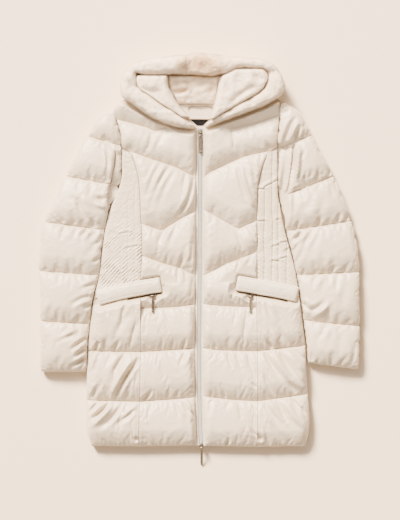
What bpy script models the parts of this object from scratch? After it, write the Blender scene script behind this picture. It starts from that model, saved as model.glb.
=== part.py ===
"""Long hooded puffer coat, laid flat on its back.

+X is to the right as seen from the front, +Y points to the hood and +Z up. The origin is in
the middle of the coat, on the surface that it lies on. "Left" and "right" are as seen from
the front. Tables are in millimetres, and MM turns them into metres.

The back panel and the hood's shell lie on the surface. The front panels lie on the back
panel, the plush of the hood lies on the fronts and on the hood's shell, and the sleeves lie
beside the body.
"""

import bisect
from math import cos, hypot, pi, sin

import bmesh
import bpy
from mathutils import Matrix, Vector

MM = 0.001

# ---- Driving dimensions, mm ------------------------------------------------------------
SEAM_GAP = 0.3             # between two pieces that are sewn together or lie on each other
BACK_THICKNESS = 16.0      # the padded back, pressed flat
FRONT_FLOOR = BACK_THICKNESS + SEAM_GAP
SEAM_THICKNESS = 6.0       # a quilted panel where it is stitched down
SEAM_TOP = FRONT_FLOOR + SEAM_THICKNESS
PLUSH_FLOOR = SEAM_TOP + SEAM_GAP
PUFF = 19.0                # how far a puff stands above its stitching
PUFF_REACH = 42.0          # distance from the stitching at which a puff is at full height
BACK_ROUNDING = 6.0        # the back panel's edge, rolled under

ZIP_HALF_GAP = 5.5         # from the zip's centre line to the front's edge
ZIP_MARGIN = 7.0           # flat topstitched strip along that edge
HEM_Y = -447.5
ZIP_TOP_Y = 318.0

RUCHE_CHANNELS = 5
RUCHE_PUFF = 8.0
RUCHE_ROWS = 24

WELT_WIDTH = 36.0
WELT_HEIGHT = 13.0
WELT_SEAT_MARGIN = 9.0     # the panels are pressed flat this far round the welt
RUCHE_SEAT_MARGIN = 16.0
SLIDER_SEAT_RADIUS = 20.0
PULL_BED_HEIGHT = 8.0      # the puff under a pocket's pull tab

SLEEVE_SEAM_HEIGHT = 31.0
SLEEVE_PUFF = 15.0
SLEEVE_REACH = 40.0
SLEEVE_SIDE_Z = 15.0
SLIT_Z = 15.5              # the inside of the flattened sleeve
SLIT_HALF_HEIGHT = 1.6
SLIT_INSET = 15.0
ARMHOLE_GAP = 0.9          # room for the sleeve's straight facets beside the body's

TAPE_THICKNESS = 1.2
CHAIN_WIDTH = 6.0
CHAIN_THICKNESS = 3.0
SLIDER_WIDTH = 9.0
SLIDER_LENGTH = 13.0
SLIDER_HEIGHT = 5.0
POCKET_SLIDER_WIDTH = 6.0
POCKET_SLIDER_HEIGHT = 7.5
PIN_RADIUS = 1.0
PIN_ABOVE_SLIDER = 3.0
LUG_THICKNESS = 1.6
LUG_HALF_SPAN = 2.5
LUG_LENGTH = 4.0
SLIDER_NOSE = 3.0          # from the pin to the slider's end, on the side of the pull
EYE_RADIUS = 2.6
EYE_HOLE_RADIUS = 1.5
EYE_LENGTH = 4.0
NECK_WIDTH = 3.6
NECK_THICKNESS = 1.8
PULL_WIDTH = 8.0
PULL_THICKNESS = 2.4
MAIN_PULL_LENGTH = 50.0
POCKET_PULL_LENGTH = 40.0
HEM_PULL_DROOP = 28.0 * pi / 180

# ---- Outlines: columns y, x (mm), from the shoulder down -------------------------------
ZIP_LINE = [(330, 1), (256, 1), (0, 0), (-330, -1), (-400, 1), (-448, 4)]
SIDE_EDGE = {
    "left": [
        (362, -211), (335, -200), (304, -191), (275, -188), (244, -187), (182, -191),
        (160, -199), (131, -211), (76, -226), (23, -234), (-37, -241), (-89, -253),
        (-157, -263), (-229, -269), (-349, -272), (-420, -269), (-448, -260),
    ],
    "right": [
        (381, 192), (335, 190), (271, 185), (239, 186), (185, 186), (155, 187),
        (131, 191), (91, 198), (28, 214), (-25, 228), (-92, 238), (-145, 245),
        (-200, 252), (-241, 254), (-301, 257), (-420, 259), (-448, 252),
    ],
}
PRINCESS_SEAM = {
    "left": [
        (270, -187), (260, -170), (235, -158), (203, -149), (155, -144), (107, -142),
        (47, -139), (-49, -142), (-217, -143), (-337, -145), (-449, -148),
    ],
    "right": [
        (270, 185), (261, 168), (244, 158), (211, 146), (179, 139), (143, 137),
        (21, 137), (-116, 135), (-217, 137), (-449, 137),
    ],
}

# Front centre, lines from the zip (u = 0) to the outer edge (u = 1): columns u, y (mm)
FRONT_LINES = {
    "left": [
        ("neck", [(0, 318), (0.1, 335), (0.27, 376), (0.4, 409), (0.67, 395), (0.92, 376),
                  (1, 361)]),
        ("hood edge", [(0, 306), (0.25, 313), (0.4, 320), (0.55, 333), (0.67, 347), (0.8, 361),
                       (1, 350)]),
        ("yoke", [(0, 272), (0.2, 292), (0.4, 316), (0.55, 309), (0.67, 319), (1, 337)]),
        ("chevron 1", [(0, 194), (0.34, 221), (0.8, 246), (1, 260)]),
        ("chevron 2", [(0, 120), (0.25, 103), (0.65, 70), (1, 87)]),
        ("chevron 3", [(0, -42), (0.3, -20), (0.62, -8), (1, 10)]),
        ("pocket top", [(0, -60), (0.3, -46), (0.6, -34), (1, -41)]),
        ("pocket bottom", [(0, -90), (0.3, -90), (0.6, -86), (1, -94)]),
        ("row 1", [(0, -107), (0.4, -113), (1, -117)]),
        ("row 2", [(0, -213), (0.4, -216), (1, -221)]),
        ("row 3", [(0, -329), (0.4, -334), (1, -340)]),
        ("hem", [(0, -445), (1, -448)]),
    ],
    "right": [
        ("neck", [(0, 318), (0.1, 335), (0.27, 378), (0.4, 413), (0.67, 400), (0.92, 386),
                  (1, 379)]),
        ("hood edge", [(0, 306), (0.27, 325), (0.44, 337), (0.67, 352), (0.92, 366), (1, 367)]),
        ("yoke", [(0, 276), (0.27, 306), (0.44, 315), (0.67, 325), (1, 346)]),
        ("chevron 1", [(0, 196), (0.14, 211), (0.67, 249), (1, 261)]),
        ("chevron 2", [(0, 122), (0.25, 104), (0.65, 74), (1, 94)]),
        ("chevron 3", [(0, -40), (0.44, -9), (1, 19)]),
        ("pocket top", [(0, -60), (0.3, -42), (0.6, -28), (1, -38)]),
        ("pocket bottom", [(0, -88), (0.3, -86), (0.6, -82), (1, -90)]),
        ("row 1", [(0, -106), (0.3, -110), (1, -114)]),
        ("row 2", [(0, -212), (0.34, -217), (1, -219)]),
        ("row 3", [(0, -327), (0.5, -335), (1, -339)]),
        ("hem", [(0, -446), (1, -449)]),
    ],
}
FRONT_COLUMNS = (0, 0.05, 0.12, 0.25, 0.4, 0.52, 0.6, 0.67, 0.8, 0.92, 1)
STITCHED = ("chevron 1", "chevron 2", "chevron 3", "row 1", "row 2", "row 3", "hem")
# The yoke's line shows from the armhole to the hood's edge only: the u where it ends
YOKE_LINE_END = {"left": 0.4, "right": 0.4}

# Side panels below the pocket: columns u (0 at the side edge, 1 at the princess seam), y
LOWER_SIDE_LINES = {
    "left": [[(0, -92), (1, -67)], [(0, -119), (1, -94)], [(0, -219), (1, -221)],
             [(0, -337), (1, -340)], [(0, -446), (1, -448)]],
    "right": [[(0, -88), (1, -60)], [(0, -113), (1, -90)], [(0, -206), (1, -219)],
              [(0, -322), (1, -339)], [(0, -447), (1, -449)]],
}
LOWER_SIDE_COLUMNS = (0, 0.08, 0.28, 0.5, 0.72, 0.92, 1)
RUCHED_TOP = {"left": ((0, 264), (1, 257)), "right": ((0, 265), (1, 258))}

# The pocket welt's centre line, from the side edge inwards: columns x, y
WELT_LINE = {
    "left": [(-246, -91), (-198, -78), (-142, -67), (-94, -59)],
    "right": [(234, -83), (190, -73), (137, -64), (88, -55)],
}
POCKET_PULL_AT = {"left": (-113, -87), "right": (121, -88)}

# Sleeves: outer edge (columns y, x) and the stitched rows (name, y outside, y inside)
SLEEVE_OUTER = {
    "left": [
        (362, -213), (340, -240), (309, -263), (271, -288), (235, -306), (187, -331),
        (131, -355), (91, -375), (35, -384), (-147, -384), (-267, -384),
    ],
    "right": [
        (388, 190), (371, 214), (357, 233), (328, 252), (297, 269), (263, 288),
        (225, 309), (167, 336), (98, 362), (35, 378), (-13, 382), (-120, 384),
        (-262, 382),
    ],
}
SLEEVE_INNER = {
    "left": [(y, x - 1.5 * ARMHOLE_GAP) for y, x in SIDE_EDGE["left"]],
    "right": [(y, x + ARMHOLE_GAP) for y, x in SIDE_EDGE["right"] if y > 160] + [
        (155, 192), (131, 209), (67, 214), (11, 226), (-61, 240), (-145, 254), (-193, 259),
        (-245, 264),
    ],
}
SLEEVE_ROWS = {
    "left": [(351, 353), (297, 273), (201, 176), (91, 71), (-27, -37), (-147, -154),
             (-267, -267)],
    "right": [(378, 371), (299, 266), (201, 149), (93, 69), (-29, -37), (-159, -145),
              (-262, -246)],
}

# Hood band, from the zip round to the top centre: columns outer x, y, inner x, y, height
HOOD_BAND = {
    "left": [
        (-15, 311, -11, 322, 22), (-48, 315, -38, 338, 36), (-84, 325, -68, 358, 42),
        (-120, 342, -97, 376, 44), (-148, 361, -119, 392, 45), (-170, 375, -138, 404, 46),
        (-187, 388, -149, 415, 46), (-191, 413, -151, 426, 46), (-187, 434, -152, 438, 46),
        (-175, 455, -150, 446, 46), (-158, 470, -138, 443, 48), (-134, 478, -118, 441, 50),
        (-90, 484, -88, 442, 52), (-45, 489, -45, 443, 52), (-0.2, 495, -0.2, 440, 49),
    ],
    "right": [
        (15, 314, 12, 325, 22), (60, 332, 46, 346, 36), (96, 345, 74, 362, 42),
        (132, 359, 104, 378, 45), (166, 373, 134, 394, 47), (190, 388, 150, 409, 48),
        (202, 399, 158, 422, 48), (205, 415, 162, 436, 48), (199, 432, 160, 446, 48),
        (188, 452, 154, 453, 49), (174, 469, 142, 456, 50), (150, 478, 122, 457, 52),
        (110, 483, 96, 457, 52), (70, 487, 66, 446, 53), (35, 491, 34, 441, 52),
        (0.2, 495, 0.2, 440, 49),
    ],
}
# Plush lining that folds over the hood's mouth: columns y, x outside, x inside
HOOD_LINING = {
    "left": [(436, -147, -78), (424, -147, -78), (410, -142, -75), (394, -119, -66),
             (376, -94, -57), (358, -65, -42), (341, -39, -27)],
    "right": [(452, 84, 146), (438, 53, 157), (420, 46, 152), (404, 43, 140),
              (387, 39, 115), (368, 34, 81), (350, 29, 50), (337, 26, 30)],
}
HOOD_LINING_BACK = [(436, -74, 49), (422, -74, 42), (406, -70, 40), (390, -60, 36),
                    (374, -52, 33)]
NECK_FACING = [(397, -73, 66), (376, -56, 53), (355, -38, 36), (338, -25, 24)]
NECK_LABEL = [(336, -23, 21), (322, -7, 7)]
LINING_HEIGHT = {"left": 32.0, "right": 36.0}
BACK_LINING_HEIGHT = 14.0

# Hood shell: its outer outline, and the neck seam that it shares with the back panel
HOOD_SHELL_OUTLINE = [
    (-186, 390), (-187, 416), (-183, 434), (-171, 455), (-155, 468), (-132, 475),
    (-88, 481), (-44, 486), (0, 492), (36, 488), (70, 484), (110, 480), (148, 475),
    (171, 466), (184, 450), (195, 431), (201, 415), (198, 401),
]
BACK_TOP_LINE = [
    (-211, 362), (-186, 383), (-135, 398), (-84, 411), (-40, 401), (0, 398), (40, 401),
    (84, 416), (135, 401), (170, 391), (192, 381),
]

LOOP_HALF_WIDTH = 27.0
LOOP_Y = 368.0
LOOP_RADIUS = 1.7

CLOTH_COLOUR = (0.80, 0.73, 0.64)
PLUSH_COLOUR = (0.86, 0.78, 0.66)
LABEL_COLOUR = (0.01, 0.01, 0.012)
TAPE_COLOUR = (0.78, 0.77, 0.75)
COIL_COLOUR = (0.76, 0.74, 0.70)
METAL_COLOUR = (0.36, 0.31, 0.24)


# ---- Geometry helpers ------------------------------------------------------------------
def read_line(table, at):
    """The second column of a table at a value of its first, by straight interpolation."""
    rows = sorted(table)
    keys = [row[0] for row in rows]
    above = min(max(bisect.bisect_left(keys, at), 1), len(rows) - 1)
    (a, first), (b, second) = rows[above - 1], rows[above]
    share = min(max((at - a) / (b - a), 0.0), 1.0)
    return first + (second - first) * share


def mix(first, second, share):
    return first + (second - first) * share


def distance_to_line(x, y, line):
    """Distance in the plane from a point to a polyline."""
    nearest = 1e9
    for (ax, ay), (bx, by) in zip(line, line[1:]):
        dx, dy = bx - ax, by - ay
        along = ((x - ax) * dx + (y - ay) * dy) / (dx * dx + dy * dy)
        along = min(max(along, 0.0), 1.0)
        nearest = min(nearest, hypot(x - ax - along * dx, y - ay - along * dy))
    return nearest


def dome(distance, reach):
    """0 on the stitching, rising steeply and then evenly to 1 at the full reach."""
    rest = 1 - min(max(distance, 0.0) / reach, 1.0)
    return (1 - rest * rest) ** 0.5


def eased_steps(count):
    """Shares from 0 to 1, closer together at both ends, where a puff is steep."""
    return [mix(i / count, 0.5 - 0.5 * cos(pi * i / count), 0.6) for i in range(count + 1)]


def new_object(name, mesh_builder, material, collection):
    """An object from a bmesh in millimetres, with its faces pointing out."""
    bmesh.ops.scale(mesh_builder, vec=(MM, MM, MM), verts=mesh_builder.verts)
    bmesh.ops.recalc_face_normals(mesh_builder, faces=mesh_builder.faces)
    mesh = bpy.data.meshes.new(name)
    mesh_builder.to_mesh(mesh)
    mesh_builder.free()
    mesh.shade_smooth()
    mesh.set_sharp_from_angle(angle=50 * pi / 180)
    mesh.materials.append(material)
    item = bpy.data.objects.new(name, mesh)
    collection.objects.link(item)
    return item


def slab(name, rows, floor, material, collection, rounding=(), bent=False):
    """A panel with a plain floor under a grid of points.

    rows is a grid of (x, y, z), each row from one side to the other. rounding lists
    (inset, z) for rings of the edge between the grid and the floor. A bent panel, whose
    sides' straight links leave it, gets the grid's points on its floor too.
    """
    work = bmesh.new()
    grid = [[work.verts.new(point) for point in row] for row in rows]
    for upper, lower in zip(grid, grid[1:]):
        for j in range(len(upper) - 1):
            work.faces.new((upper[j], lower[j], lower[j + 1], upper[j + 1]))
    last, width = len(rows) - 1, len(rows[0])
    rim = (
        [(0, j) for j in range(width)]
        + [(i, width - 1) for i in range(1, last)]
        + [(last, j) for j in reversed(range(width))]
        + [(i, 0) for i in range(last - 1, 0, -1)]
    )
    outline = [Vector(rows[i][j][:2]) for i, j in rim]
    ring = [grid[i][j] for i, j in rim]
    levels = list(rounding) or [(0.0, floor)]
    for inset, z in levels:
        lower_ring = [work.verts.new((*point, z)) for point in inset_loop(outline, inset)]
        for k in range(len(ring)):
            after = (k + 1) % len(ring)
            work.faces.new((ring[k], ring[after], lower_ring[after], lower_ring[k]))
        ring = lower_ring
    floor_at = dict(zip(rim, ring))
    if bent:
        grid_floor(work, floor_at, rows, floor)
    else:
        close_floor(work, floor_at, last, width)
    return new_object(name, work, material, collection)


def inset_loop(outline, distance):
    """The outline moved in by a distance, towards the side where its middle lies."""
    count = len(outline)
    turn = sum(outline[k - 1].cross(outline[k]) for k in range(count))
    inward = 1 if turn > 0 else -1
    moved = []
    for k in range(count):
        along = (outline[(k + 1) % count] - outline[k - 1]).normalized()
        moved.append(outline[k] + Vector((-along.y, along.x)) * distance * inward)
    return moved


def close_floor(work, floor_at, last, width):
    """The flat underside: a ladder between the two sides, and one face at either end."""
    corners = [
        [(i, 0), (i + 1, 0), (i + 1, width - 1), (i, width - 1)] for i in range(1, last - 1)
    ]
    for end, beside in ((0, 1), (last, last - 1)):
        corners.append([(end, j) for j in range(width)] + [(beside, width - 1), (beside, 0)])
    faces = [work.faces.new([floor_at[corner] for corner in loop]) for loop in corners]
    bmesh.ops.triangulate(work, faces=faces, ngon_method="BEAUTY")


def grid_floor(work, floor_at, rows, floor):
    """An underside with the grid's own points, for an outline that bends round."""
    width = len(rows[0])
    points = [
        [floor_at.get((i, j)) or work.verts.new((*row[j][:2], floor)) for j in range(width)]
        for i, row in enumerate(rows)
    ]
    for upper, lower in zip(points, points[1:]):
        for j in range(width - 1):
            work.faces.new((upper[j], lower[j], lower[j + 1], upper[j + 1]))


def bridge(work, first, second):
    """Faces between two rings with the same number of points."""
    for k in range(len(first)):
        after = (k + 1) % len(first)
        work.faces.new((first[k], first[after], second[after], second[k]))


def loft(name, rings, material, collection, hollow=None):
    """A solid through closed rings, with flat ends, or a tube round hollow's rings."""
    work = bmesh.new()
    outer = [[work.verts.new(point) for point in ring] for ring in rings]
    for first, second in zip(outer, outer[1:]):
        bridge(work, first, second)
    if hollow is None:
        work.faces.new(outer[0])
        work.faces.new(outer[-1])
    else:
        inner = [[work.verts.new(point) for point in ring] for ring in hollow]
        for first, second in zip(inner, inner[1:]):
            bridge(work, first, second)
        bridge(work, outer[0], inner[0])
        bridge(work, outer[-1], inner[-1])
    return new_object(name, work, material, collection)


def arch_ring(outer, inner, floor, height, steps=7):
    """A cross-section with a flat base and an arch from its outer to its inner point."""
    ring = [(*outer, floor)]
    for k in range(1, steps):
        angle = pi * k / steps
        share = 0.5 - 0.5 * cos(angle)
        rise = height * sin(angle) ** 0.6
        x, y = mix(outer[0], inner[0], share), mix(outer[1], inner[1], share)
        ring.append((x, y, floor + rise))
    ring.append((*inner, floor))
    return ring


# ---- Cloth -----------------------------------------------------------------------------
def zip_x(y):
    return read_line(ZIP_LINE, y)


def side_sign(side):
    return -1 if side == "left" else 1


def outer_edge_x(side, y):
    """The front centre's outer edge: the armhole, and below it the princess seam."""
    seam = PRINCESS_SEAM[side]
    return read_line(seam, y) if y < seam[0][0] else read_line(SIDE_EDGE[side], y)


def front_point(side, u, y):
    """A point of the front centre, u of the way from its zip edge to its outer edge."""
    inner = zip_x(y) + side_sign(side) * ZIP_HALF_GAP
    outer = outer_edge_x(side, y) - side_sign(side) * SEAM_GAP
    return mix(inner, outer, u), y


def front_line(side, name, start=0.0):
    """A stitched line of the front centre as points, from u = start outwards."""
    table = dict(FRONT_LINES[side])[name]
    columns = [u for u in FRONT_COLUMNS if u >= start]
    return [front_point(side, u, read_line(table, u)) for u in columns]


def front_height(side, x, y, lines):
    """Height of the quilted front at a point: puffs between the lines, presses on top."""
    from_zip = abs(x - zip_x(y)) - ZIP_HALF_GAP - ZIP_MARGIN
    reach = min([from_zip] + [distance_to_line(x, y, line) for line in lines])
    height = SEAM_TOP + PUFF * dome(reach, PUFF_REACH)
    welt = distance_to_line(x, y, WELT_LINE[side]) - WELT_WIDTH / 2 - WELT_SEAT_MARGIN
    height = min(height, SEAM_TOP + max(welt, 0.0))
    pull_x, pull_y = POCKET_PULL_AT[side]
    beside_slider = hypot(x - pull_x, y - pull_y) - SLIDER_SEAT_RADIUS
    height = min(height, SEAM_TOP + max(beside_slider, 0.0))
    bed = [(pull_x, pull_y), (pull_x, pull_y - POCKET_PULL_LENGTH)]
    beside_pull = max(distance_to_line(x, y, bed) - PULL_WIDTH / 2 - WELT_SEAT_MARGIN, 0.0)
    return min(height, SEAM_TOP + PULL_BED_HEIGHT + beside_pull)


def rows_between(stations, row_height):
    """Grid rows as functions of u through the stations, closer near each one."""
    rows = [stations[0]]
    for upper, lower in zip(stations, stations[1:]):
        drop = read_line(upper, 0.5) - read_line(lower, 0.5)
        count = max(2, round(drop / row_height))
        for share in eased_steps(count)[1:]:
            knots = sorted({u for u, _ in upper} | {u for u, _ in lower})
            rows.append([
                (u, mix(read_line(upper, u), read_line(lower, u), share)) for u in knots
            ])
    return rows


def front_centre(side, material, collection):
    stations = [table for _, table in FRONT_LINES[side]]
    lines = [front_line(side, name) for name in STITCHED]
    lines.append(front_line(side, "yoke", YOKE_LINE_END[side]))
    lines.append([(outer_edge_x(side, y), y) for y in range(360, -460, -20)])
    under_hood = front_line(side, "hood edge")
    rows = []
    for row in rows_between(stations, 19.0):
        points = []
        for u in FRONT_COLUMNS:
            x, y = front_point(side, u, read_line(row, u))
            height = front_height(side, x, y, lines + [under_hood])
            below_hood = y < read_line(sorted(under_hood), x)
            on_edge = u in (0, 1) or row is stations[0]
            pressed = on_edge or not below_hood
            points.append((x, y, SEAM_TOP if pressed else height))
        rows.append(points)
    return slab(f"front_centre_{side}", rows, FRONT_FLOOR, material, collection)


def side_point(side, u, y):
    """A point of a side panel, u of the way from the side edge to the princess seam."""
    outer = read_line(SIDE_EDGE[side], y)
    inner = read_line(PRINCESS_SEAM[side], y) + side_sign(side) * 2 * SEAM_GAP
    return mix(outer, inner, u), y


def ruched_side(side, material, collection):
    """Narrow upright channels, tied across at steps that differ from one to the next."""
    bottom = [(u, y + 2 * SEAM_GAP) for u, y in LOWER_SIDE_LINES[side][0]]
    columns = [k / (2 * RUCHE_CHANNELS) for k in range(2 * RUCHE_CHANNELS + 1)]
    rows = []
    for i in range(RUCHE_ROWS + 1):
        points = []
        for k, u in enumerate(columns):
            y = mix(read_line(RUCHED_TOP[side], u), read_line(bottom, u), i / RUCHE_ROWS)
            x, y = side_point(side, u, y)
            tied = (i + 2 * (k // 2 % 2)) % 4 == 0
            rise = RUCHE_PUFF * (0.35 if tied else 1.0) if k % 2 else 0.0
            welt = distance_to_line(x, y, WELT_LINE[side]) - WELT_WIDTH / 2
            pressed = i in (0, RUCHE_ROWS) or welt < RUCHE_SEAT_MARGIN
            points.append((x, y, SEAM_TOP + (0.0 if pressed else rise)))
        rows.append(points)
    return slab(f"ruched_side_{side}", rows, FRONT_FLOOR, material, collection)


def lower_side(side, material, collection):
    stations = LOWER_SIDE_LINES[side]
    lines = [[side_point(side, u, y) for u, y in table] for table in stations]
    for u in (0, 1):
        lines.append([side_point(side, u, y) for y in range(-40, -460, -20)])
    rows = []
    for row in rows_between(stations, 19.0):
        points = []
        for u in LOWER_SIDE_COLUMNS:
            x, y = side_point(side, u, read_line(row, u))
            height = front_height(side, x, y, lines)
            pressed = u in (0, 1) or row is stations[0]
            points.append((x, y, SEAM_TOP if pressed else height))
        rows.append(points)
    return slab(f"lower_side_{side}", rows, FRONT_FLOOR, material, collection)


def back_panel(material, collection):
    left, right = BACK_TOP_LINE[0][0], BACK_TOP_LINE[-1][0]
    columns = [(x - left) / (right - left) for x, _ in BACK_TOP_LINE]
    stations = [[(u, y) for u, (_, y) in zip(columns, BACK_TOP_LINE)]]
    for y in (350, 304, 260, 220, 182, 160, 131, 91, 35, -25, -89, -150, -229, -310, -400):
        stations.append([(0, y), (1, y)])
    stations.append([(0, HEM_Y), (1, HEM_Y)])
    rows = []
    for table in stations:
        points = []
        for u in columns:
            y = read_line(table, u)
            left = read_line(SIDE_EDGE["left"], y)
            right = read_line(SIDE_EDGE["right"], y)
            points.append((mix(left, right, u), y, BACK_THICKNESS))
        rows.append(points)
    edge = [(0.0, BACK_THICKNESS * 0.55), (BACK_ROUNDING, 0.0)]
    return slab("back_panel", rows, 0.0, material, collection, rounding=edge)


def pocket_welt(side, material, collection):
    """A flat, softly rounded band that lies on the pressed panels."""
    line = WELT_LINE[side]
    rings = []
    for k, (x, y) in enumerate(line):
        before, after = line[max(k - 1, 0)], line[min(k + 1, len(line) - 1)]
        along = Vector((after[0] - before[0], after[1] - before[1])).normalized()
        across = Vector((-along.y, along.x)) * WELT_WIDTH / 2
        upper, lower = (x + across.x, y + across.y), (x - across.x, y - across.y)
        rings.append(arch_ring(upper, lower, PLUSH_FLOOR, WELT_HEIGHT))
    return loft(f"pocket_welt_{side}", rings, material, collection)


def sleeve(side, material, collection):
    """A flattened tube, tied down along its stitched rows, with a thin slit inside."""
    table = SLEEVE_ROWS[side]
    rings, slits = [], []
    for number, (first, second) in enumerate(zip(table, table[1:])):
        length = abs(first[0] - second[0] + first[1] - second[1]) / 2
        steps = eased_steps(max(3, round(length / 19.0)))
        for share in steps if number == 0 else steps[1:]:
            outer_y, inner_y = mix(first[0], second[0], share), mix(first[1], second[1], share)
            outer = (read_line(SLEEVE_OUTER[side], outer_y), outer_y)
            inner = (read_line(SLEEVE_INNER[side], inner_y), inner_y)
            puff = dome(min(share, 1 - share) * length, SLEEVE_REACH)
            rings.append(sleeve_ring(outer, inner, SLEEVE_SEAM_HEIGHT + SLEEVE_PUFF * puff))
            slits.append(slit_ring(outer, inner))
    return loft(f"sleeve_{side}", rings, material, collection, hollow=slits)


def sleeve_ring(outer, inner, height, steps=8):
    """One cross-section of a sleeve: rounded above, flat below, widest at its side."""
    width = hypot(inner[0] - outer[0], inner[1] - outer[1])
    height = min(height, SLEEVE_SIDE_Z + width * 0.45)
    ring = []
    for k in range(2 * steps):
        angle = pi * k / steps
        share = 0.5 - 0.5 * cos(angle)
        if k <= steps:
            z = SLEEVE_SIDE_Z + (height - SLEEVE_SIDE_Z) * abs(sin(angle)) ** 0.6
        else:
            share = mix(0.5, share, 1 - 0.12 * abs(sin(angle)))
            z = SLEEVE_SIDE_Z * (1 - min(1.0, abs(sin(angle)) * 2.7))
        ring.append((mix(outer[0], inner[0], share), mix(outer[1], inner[1], share), z))
    return ring


def slit_ring(outer, inner, steps=8):
    width = hypot(inner[0] - outer[0], inner[1] - outer[1])
    inset = min(SLIT_INSET / width, 0.3)
    ring = []
    for k in range(2 * steps):
        angle = pi * k / steps
        share = mix(inset, 1 - inset, 0.5 - 0.5 * cos(angle))
        z = SLIT_Z + SLIT_HALF_HEIGHT * sin(angle)
        ring.append((mix(outer[0], inner[0], share), mix(outer[1], inner[1], share), z))
    return ring


# ---- Hood ------------------------------------------------------------------------------
def hood_shell(material, collection):
    """The hood's outer cloth on the surface, from the back's top line to its crown."""
    count = len(HOOD_SHELL_OUTLINE)
    seam_x = [mix(-186, 192, k / (count - 1)) for k in range(count)]
    for corner_x, _ in BACK_TOP_LINE[1:]:
        nearest = min(range(count), key=lambda k: abs(seam_x[k] - corner_x))
        seam_x[nearest] = corner_x
    seam = BACK_TOP_LINE
    shares = (0, 0.1, 0.5, 1)
    rows = []
    for share in shares:
        points = []
        for k, (x, y) in enumerate(HOOD_SHELL_OUTLINE):
            low = read_line(seam, seam_x[k]) + 1.0
            points.append((mix(seam_x[k], x, share), mix(low, y, share), SEAM_TOP))
        rows.append(points)
    rows.reverse()
    return slab("hood_shell", rows, 0.0, material, collection, bent=True)


def hood_band(side, material, collection):
    """A thick plush roll along the hood's edge, on a flat base."""
    rings = [
        arch_ring((outer_x, outer_y), (inner_x, inner_y), PLUSH_FLOOR, height)
        for outer_x, outer_y, inner_x, inner_y, height in HOOD_BAND[side]
    ]
    return loft(f"hood_band_{side}", rings, material, collection)


def plush_pad(name, table, height, floor, material, collection):
    """A soft pad between two edges: columns y, x at one side, x at the other."""
    shares = (0, 0.06, 0.2, 0.4, 0.6, 0.8, 0.94, 1)
    ends = [(table[0][0], table[0][1]), (table[0][0], table[0][2])]
    feet = [(table[-1][0], table[-1][1]), (table[-1][0], table[-1][2])]
    rim = [
        [(x, y) for y, x, _ in table], [(x, y) for y, _, x in table],
        [(x, y) for y, x in ends], [(x, y) for y, x in feet],
    ]
    edge_height = min(4.0, height / 2)
    rows = []
    for y, first, second in refine(table, 12.0):
        points = []
        for share in shares:
            x = mix(first, second, share)
            reach = min(distance_to_line(x, y, line) for line in rim)
            rise = (height - edge_height) * dome(reach, 22.0)
            points.append((x, y, floor + edge_height + rise))
        rows.append(points)
    return slab(name, rows, floor, material, collection)


def refine(table, row_height):
    """Rows added between a table's rows, so that none is further apart than row_height."""
    rows = [table[0]]
    for first, second in zip(table, table[1:]):
        count = max(1, round(abs(first[0] - second[0]) / row_height))
        for k in range(1, count + 1):
            rows.append(tuple(mix(a, b, k / count) for a, b in zip(first, second)))
    return rows


def flat_pad(name, table, floor, thickness, material, collection):
    """A thin flat piece: columns y, x at one side, x at the other."""
    rows = [
        [(mix(first, second, share), y, floor + thickness) for share in (0, 0.5, 1)]
        for y, first, second in refine(table, 8.0)
    ]
    return slab(name, rows, floor, material, collection)


def hanger_loop(material, collection):
    """A cord sewn down at both ends, lying on the neck facing."""
    route = [
        (-LOOP_HALF_WIDTH - 2, LOOP_Y - 7, 0), (-LOOP_HALF_WIDTH, LOOP_Y - 2, 0),
        (-LOOP_HALF_WIDTH + 5, LOOP_Y + 0.5, 0.8), (0, LOOP_Y - 0.5, 1.8),
        (LOOP_HALF_WIDTH - 5, LOOP_Y + 0.5, 0.8), (LOOP_HALF_WIDTH, LOOP_Y - 2, 0),
        (LOOP_HALF_WIDTH + 2, LOOP_Y - 7, 0),
    ]
    base = PLUSH_FLOOR + LOOP_RADIUS
    sides = 8
    rings = []
    for k, (x, y, rise) in enumerate(route):
        before, after = Vector(route[max(k - 1, 0)]), Vector(route[min(k + 1, 6)])
        along = (after - before).normalized()
        across = along.cross(Vector((0, 0, 1))).normalized()
        up = across.cross(along)
        centre = Vector((x, y, base + rise))
        rings.append([
            tuple(centre + across * LOOP_RADIUS * cos(a) + up * LOOP_RADIUS * sin(a))
            for a in [2 * pi * j / sides for j in range(sides)]
        ])
    return loft("hanger_loop", rings, material, collection)


# ---- Zip and hard pieces ---------------------------------------------------------------
def zip_strip(name, first_offset, second_offset, floor, thickness, ends, material, collection):
    """A strip along the zip's line, between two offsets from it."""
    top, bottom = ends
    count = 14
    rings = []
    for k in range(count + 1):
        y = mix(top, bottom, k / count)
        left, right = zip_x(y) + first_offset, zip_x(y) + second_offset
        rings.append([
            (left, y, floor), (right, y, floor),
            (right, y, floor + thickness), (left, y, floor + thickness),
        ])
    return loft(name, rings, material, collection)


def add_box(work, size, centre):
    made = bmesh.ops.create_cube(work, size=1.0)["verts"]
    bmesh.ops.scale(work, vec=size, verts=made)
    bmesh.ops.translate(work, vec=centre, verts=made)


def add_rod(work, radius, length, centre, segments=16):
    """A cylinder along X."""
    turn = Matrix.Translation(centre) @ Matrix.Rotation(pi / 2, 4, "Y")
    bmesh.ops.create_cone(
        work, cap_ends=True, segments=segments, radius1=radius, radius2=radius,
        depth=length, matrix=turn,
    )


def hard_piece(name, add_shape, material, collection, hidden=False):
    work = bmesh.new()
    add_shape(work)
    item = new_object(name, work, material, collection)
    item.hide_render = hidden
    item.display_type = "WIRE" if hidden else "TEXTURED"
    return item


def combine(item, other, operation):
    step = item.modifiers.new(operation.title(), "BOOLEAN")
    step.operation = operation
    step.object = other
    step.solver = "EXACT"


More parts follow.
